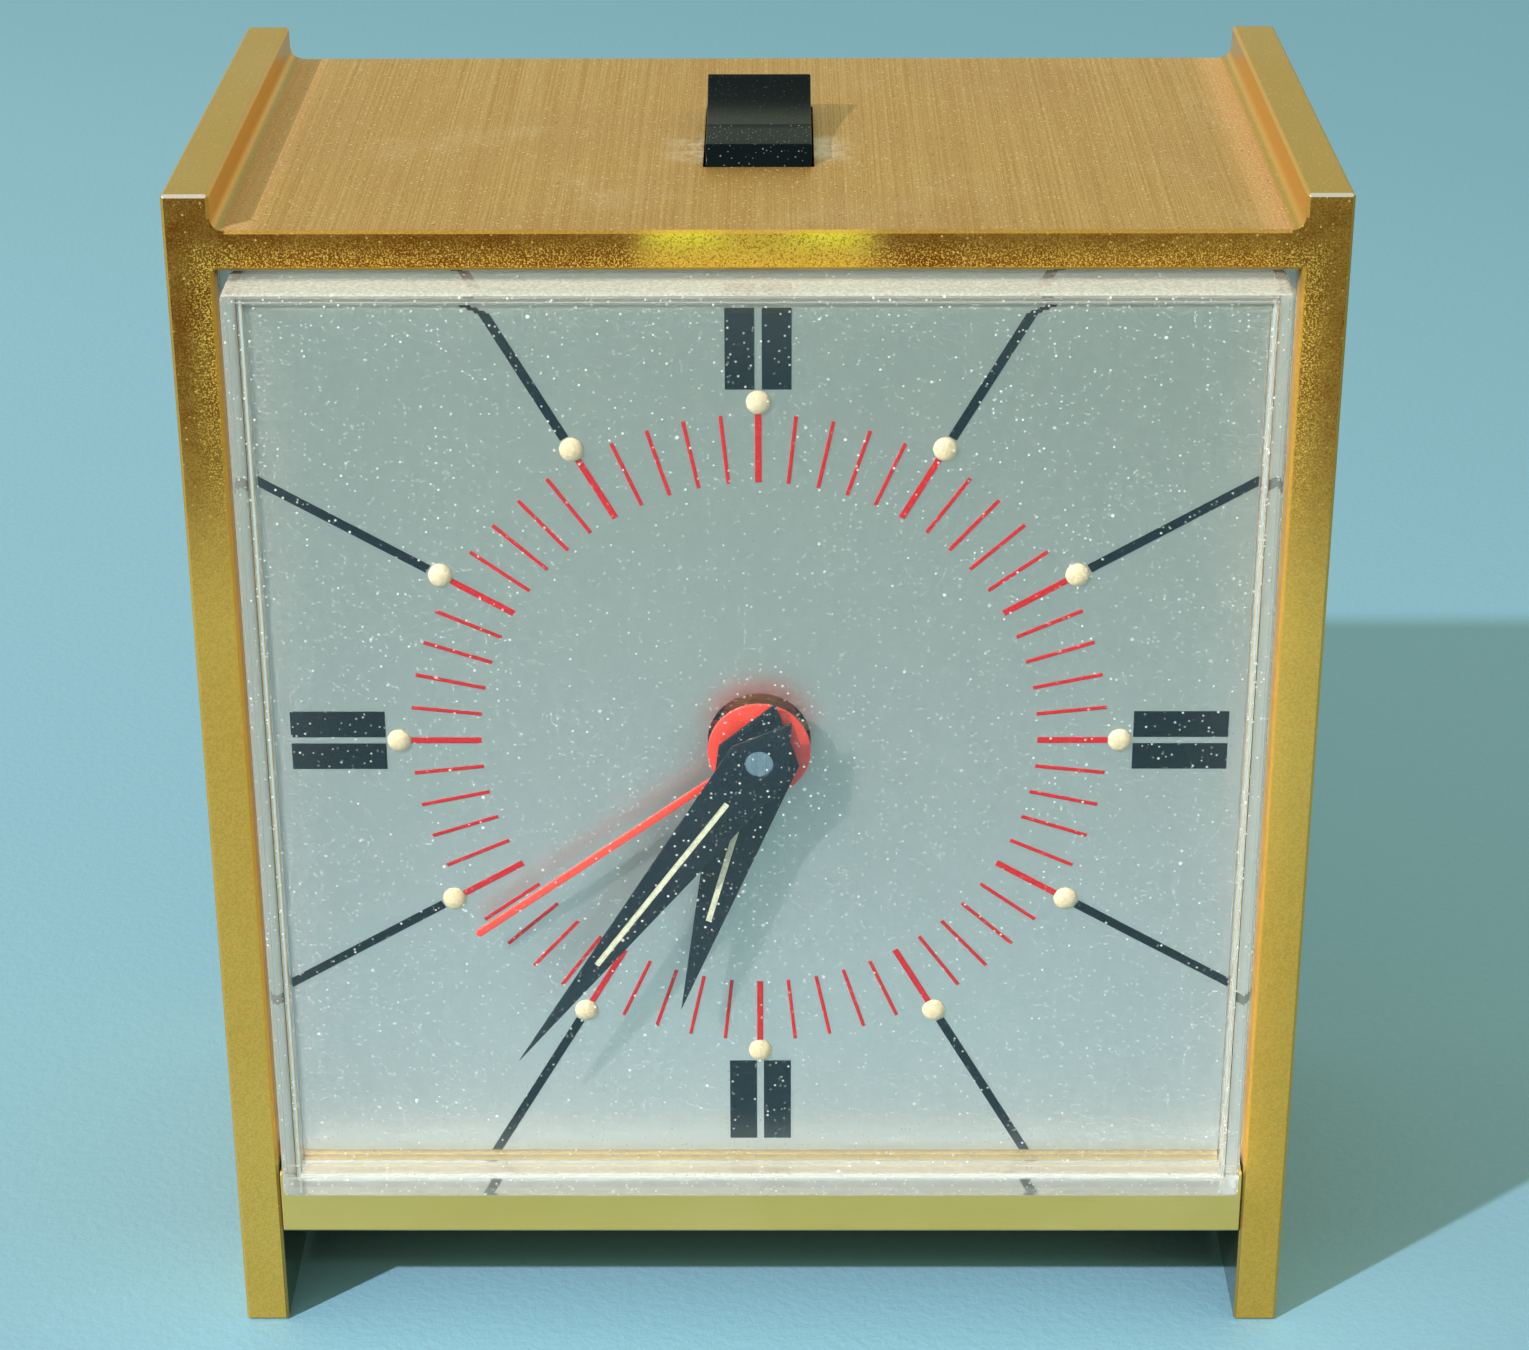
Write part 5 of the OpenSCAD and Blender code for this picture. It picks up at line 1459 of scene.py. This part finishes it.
@dataclass
class Drive(Assembly):
    """The circuit board's back: wound coil, transistor, capacitor, resistors, solder and wires."""

    board_back: float = 28.5
    board_right: float = 3.27
    coil_x: float = 6.27
    coil_z: float = 73.89
    coil_r: float = 3.2
    coil_core: float = 0.9
    coil_t: float = 1.6
    coil_rim: float = 0.2
    coil_inset: float = 0.3
    ridge: float = 0.05
    turns: int = 11
    arm_half: float = 2.0
    arm_lap: float = 4.0
    lead: float = 0.22
    transistor: Pair = (-5.73, 70.5)
    capacitor: Pair = (-22.6, 70.2)
    resistors: Pair = (69.0, 72.2)
    resistor_x: float = -16.0
    resistor_l: float = 6.0
    resistor_rise: float = 1.0
    lead_reach: float = 1.2
    solder: float = 0.7

    def on_board(self, x: float, z: float, rise: float = 0.0) -> Vector:
        """Gives a point at a height over the board's back."""
        return at(x, self.board_back + rise, z)

    def winding(self) -> bpy.types.Object:
        """Makes the coil's winding, with a ridge for each layer of wire.

        Returns:
            The piece's object.
        """
        low, high = self.coil_inset, self.coil_t - self.coil_inset
        inner, outer = self.coil_core + 0.35, self.coil_r - 0.15
        steps, ridge = 2 * self.turns, self.ridge
        length, thick = high - low, outer - inner
        rise = [(low + length * i / steps, outer + ridge * (i % 2)) for i in range(steps + 1)]
        across = [(high + ridge * (i % 2), outer - thick * i / steps) for i in range(1, steps + 1)]
        fall = [(low - ridge * (i % 2), inner + thick * i / steps) for i in range(steps)]
        return lathe("coil_winding", rise + across + fall + rise[:1], BACK,
                     self.on_board(self.coil_x, self.coil_z), sharp=80.0)

    def bobbin(self) -> bpy.types.Object:
        """Makes the coil's bobbin with its flanges and the arm that holds it on the board.

        Returns:
            The piece's object.
        """
        shape, core, rim, t, thin = Shape(), self.coil_core, self.coil_r, self.coil_t, self.coil_rim
        tube, arm = core + self.coil_inset, self.arm_half
        shape.turned([(0, core), (0, rim), (thin, rim), (thin, tube), (t - thin, tube),
                      (t - thin, rim), (t, rim), (t, core), (0, core)],
                     self.on_board(self.coil_x, self.coil_z), BACK)
        shape.block(self.on_board(self.board_right - self.arm_lap, self.coil_z - arm),
                    self.on_board(self.coil_x - rim + 0.25, self.coil_z + arm, t))
        return shape.finish("coil_bobbin", smooth=True)

    def cans(self) -> bpy.types.Object:
        """Makes the transistor's metal can with its rim.

        Returns:
            The piece's object.
        """
        outline = [(0, 0), (0, 2.9), (0.5, 2.9), (0.56, 2.5), (0.7, 2.4), (3.3, 2.4), (3.52, 2.28),
                   (3.62, 2.0), (3.62, 0)]
        return lathe("transistor_can", outline, BACK, self.on_board(*self.transistor))

    def sleeve(self) -> bpy.types.Object:
        """Makes the capacitor in its shrunk sleeve.

        Returns:
            The piece's object.
        """
        outline = [(0, 0), (0, 2.5), (0.2, 2.75), (0.8, 2.8), (1.0, 2.62), (1.15, 2.62),
                   (1.35, 2.8), (4.05, 2.8), (4.3, 2.65), (4.35, 2.4), (4.28, 2.2), (4.28, 0)]
        return lathe("capacitor_sleeve", outline, BACK, self.on_board(*self.capacitor))

    def bodies(self) -> bpy.types.Object:
        """Makes the two resistors' bodies, thicker at their ends.

        Returns:
            The piece's object.
        """
        outline = [(0, 0), (0, 0.5), (0.25, 0.9), (0.7, 1.0), (1.3, 0.98), (1.7, 0.82),
                   (4.3, 0.82), (4.7, 0.98), (5.3, 1.0), (5.75, 0.9), (6.0, 0.5), (6.0, 0)]
        starts = [self.on_board(self.resistor_x, z, self.resistor_rise) for z in self.resistors]
        return lathe("resistor_bodies", outline, RIGHT, *starts, steps=32)

    def leads(self) -> bpy.types.Object:
        """Makes the resistors' bent leads and the drops of solder on the board.

        Returns:
            The piece's object.
        """
        shape = Shape()
        for z in self.resistors:
            for x, way in ((self.resistor_x, -1), (self.resistor_x + self.resistor_l, 1)):
                end = x + self.lead_reach * way
                bend, foot = self.on_board(end, z, self.resistor_rise), self.on_board(end, z)
                shape.rod(self.on_board(x, z, self.resistor_rise), bend, self.lead)
                shape.rod(bend, foot, self.lead)
                for middle, size, flat in ((bend, self.lead, 1.0), (foot, self.solder, 0.5)):
                    drop = shape.ball(size, 8)
                    bmesh.ops.scale(shape.bm, verts=drop, vec=(1, flat, 1))
                    bmesh.ops.translate(shape.bm, verts=drop, vec=middle)
        return shape.finish("leads_and_solder", smooth=True)

    def build(self) -> None:
        """Makes the drive's pieces."""
        self.set_piece(self.winding(), COPPER, "copper_coil", "drive_coil")
        self.set_piece(self.bobbin(), WHITE_NYLON, "copper_coil")
        self.set_piece(self.cans(), PART_GREY, "component_grey", "circuit_parts")
        self.set_piece(self.sleeve(), SLEEVE_BLUE, "component_grey")
        self.set_piece(self.bodies(), RESISTOR, "component_grey")
        self.set_piece(self.leads(), PART_GREY, "component_grey")
        self.dress(BOARD_GREEN, "circuit_board")


@dataclass
class Movement(Assembly):
    """The plates, wheels, balance and alarm parts."""

    def build(self) -> None:
        """Dresses the movement."""
        self.dress(BRASS, "hour_wheel", "minute_wheel", "alarm_wheel", "time_set_shaft",
                   "alarm_set_shaft", "front_plate", "back_plate", "centre_wheel", "third_wheel",
                   "fourth_wheel", "balance_wheel", "balance_cock", "alarm_contact")
        self.dress(WHITE_NYLON, "index_wheel")
        self.dress(STEEL, "plate_pillars", "movement_screws", "regulator_lever")
        self.dress(MAGNET, "balance_magnets")
        self.dress(BLUED_STEEL, "hairspring")
        self.dress(BLACK_CASE, "buzzer")


@dataclass
class Cell(Assembly):
    """The battery: a metal can in a printed sleeve."""

    left: float = -25.0
    depth: float = 29.6
    height: float = 30.7
    steps: int = 96

    def start(self) -> Vector:
        """Gives where the battery starts on its axis."""
        return at(self.left, self.depth, self.height)

    def can(self) -> bpy.types.Object:
        """Makes the can, whose ends show, with the crimp round its top.

        Returns:
            The piece's object.
        """
        outline = [(0.25, 0), (0.25, 9.6), (0.0, 10.2), (0.0, 11.6), (0.35, 12.3), (1.1, 12.55),
                   (1.6, 12.6), (46.6, 12.6), (47.3, 12.45), (47.7, 12.0), (47.8, 11.0),
                   (47.6, 10.2), (47.6, 7.0), (48.2, 6.4), (48.5, 5.2), (48.5, 0)]
        return lathe("battery_can", outline, RIGHT, self.start(), steps=self.steps)

    def sleeve(self) -> bpy.types.Object:
        """Makes the sleeve, rolled over the can's ends.

        Returns:
            The piece's object.
        """
        loop = [(0.7, 12.2), (0.6, 12.5), (0.8, 12.85), (1.2, 13.0), (46.9, 13.0), (47.4, 12.85),
                (47.65, 12.5), (47.6, 12.2), (47.2, 12.3), (1.2, 12.3)]
        return lathe("battery_sleeve", loop + loop[:1], RIGHT, self.start(), steps=self.steps)

    def build(self) -> None:
        """Makes the battery."""
        self.set_piece(self.sleeve(), JACKET, "battery_jacket", "battery")
        self.set_piece(self.can(), STEEL, "battery_jacket")


@dataclass
class Back(Assembly):
    """The black inner case with its rear cover, door and knobs."""

    edge: float = 0.15

    def build(self) -> None:
        """Dresses the back."""
        self.dress(BLACK_CASE, "inner_case", "rear_cover", "battery_door")
        self.dress(STEEL, "cover_screws", "contact_plus", "contact_minus", "battery_cap")
        for side, body in (("time", "time_setting"), ("alarm", "alarm_setting")):
            knob = softened(side + "_knob_fluted", side + "_set_knob", self.edge, 2, 30.0, False)
            self.set_piece(knob, BLACK_GLOSS, "black_case", side + "_set_knob", body=body)


@dataclass
class Studio:
    """The floor, the lights and the camera.

    Positions are metres of the shared frame, with the camera's placement fitted to the photograph.
    """

    eye: Point = (0.001704, -0.283372, 0.187065)
    forward: Point = (-0.00433, 0.90433, -0.42681)
    roll: float = -0.15
    lens: float = 82.72
    sensor: float = 36.0
    to_light: Point = (-1.0, -0.887, 0.97)
    light_distance: float = 1.5
    light_size: float = 0.035
    light_power: float = 22.5
    light_colour: Colour = (0.95, 0.9, 1.0)
    sky_back: Colour = (0.62, 0.7, 0.55)
    sky_front: Colour = (0.65, 0.72, 0.59)
    sky_turn: Pair = (-0.55, 0.5)
    floor_half: float = 8.0
    target: Point = (0.0, 0.0, 0.05)

    def camera(self) -> None:
        """Sets up the photograph's camera."""
        ahead = Vector(self.forward).normalized()
        right = ahead.cross(Vector((0, 0, 1))).normalized()
        up = right.cross(ahead)
        turn = math.radians(self.roll)
        right, up = (math.cos(turn) * right + math.sin(turn) * up,
                     -math.sin(turn) * right + math.cos(turn) * up)
        data = bpy.data.cameras.new("camera")
        data.sensor_width, data.lens = self.sensor, self.lens
        camera = bpy.data.objects.new("camera", data)
        bpy.context.scene.collection.objects.link(camera)
        axes = Matrix((right, up, -ahead)).transposed().to_4x4()
        camera.matrix_world = Matrix.Translation(self.eye) @ axes
        bpy.context.scene.camera = camera

    def lamp(self) -> None:
        """Hangs the key light, at the front on the left."""
        data = bpy.data.lights.new("key_light", "AREA")
        data.shape, data.size = "DISK", self.light_size
        data.energy, data.color = self.light_power, self.light_colour
        lamp = bpy.data.objects.new("key_light", data)
        bpy.context.scene.collection.objects.link(lamp)
        away = Vector(self.to_light).normalized()
        lamp.location = Vector(self.target) + away * self.light_distance
        lamp.rotation_euler = away.to_track_quat("Z", "Y").to_euler()
        lamp.visible_transmission = False

    def world(self) -> None:
        """Surrounds the scene with plain soft light, a little brighter in front of the clock than
        behind it.
        """
        world = bpy.data.worlds.new("soft_light")
        world.use_nodes = True
        g = Graph(world.node_tree)
        _, depth, _ = g.split(g.add("TexCoord").outputs["Generated"])
        sky = g.mix(g.ramp(depth, *self.sky_turn), self.sky_front, self.sky_back)
        light = g.add("Background", Color=sky, Strength=1.0)
        g.add("OutputWorld", Surface=light.outputs[0])
        bpy.context.scene.world = world

    def floor(self) -> None:
        """Lays the plain floor."""
        shape = Shape()
        bmesh.ops.create_grid(shape.bm, x_segments=2, y_segments=2, size=self.floor_half)
        floor = shape.finish("floor")
        floor.data.materials.append(FLOOR.material())

    def build(self) -> None:
        """Makes the studio."""
        bpy.context.scene.view_settings.view_transform = "Standard"
        self.camera()
        self.lamp()
        self.world()
        self.floor()


def main() -> None:
    """Builds the studio and every sub-assembly in order."""
    logging.basicConfig(level=logging.INFO, format="%(name)s: %(message)s")
    Studio().build()
    for assembly in (CaseFrame(), Crystal(), Dial(), Hands(), RockerKey(), Movement(), Drive(),
                     Cell(), Back()):
        log.info("building %s", type(assembly).__name__)
        assembly.build()


if __name__ == "__main__":
    main()
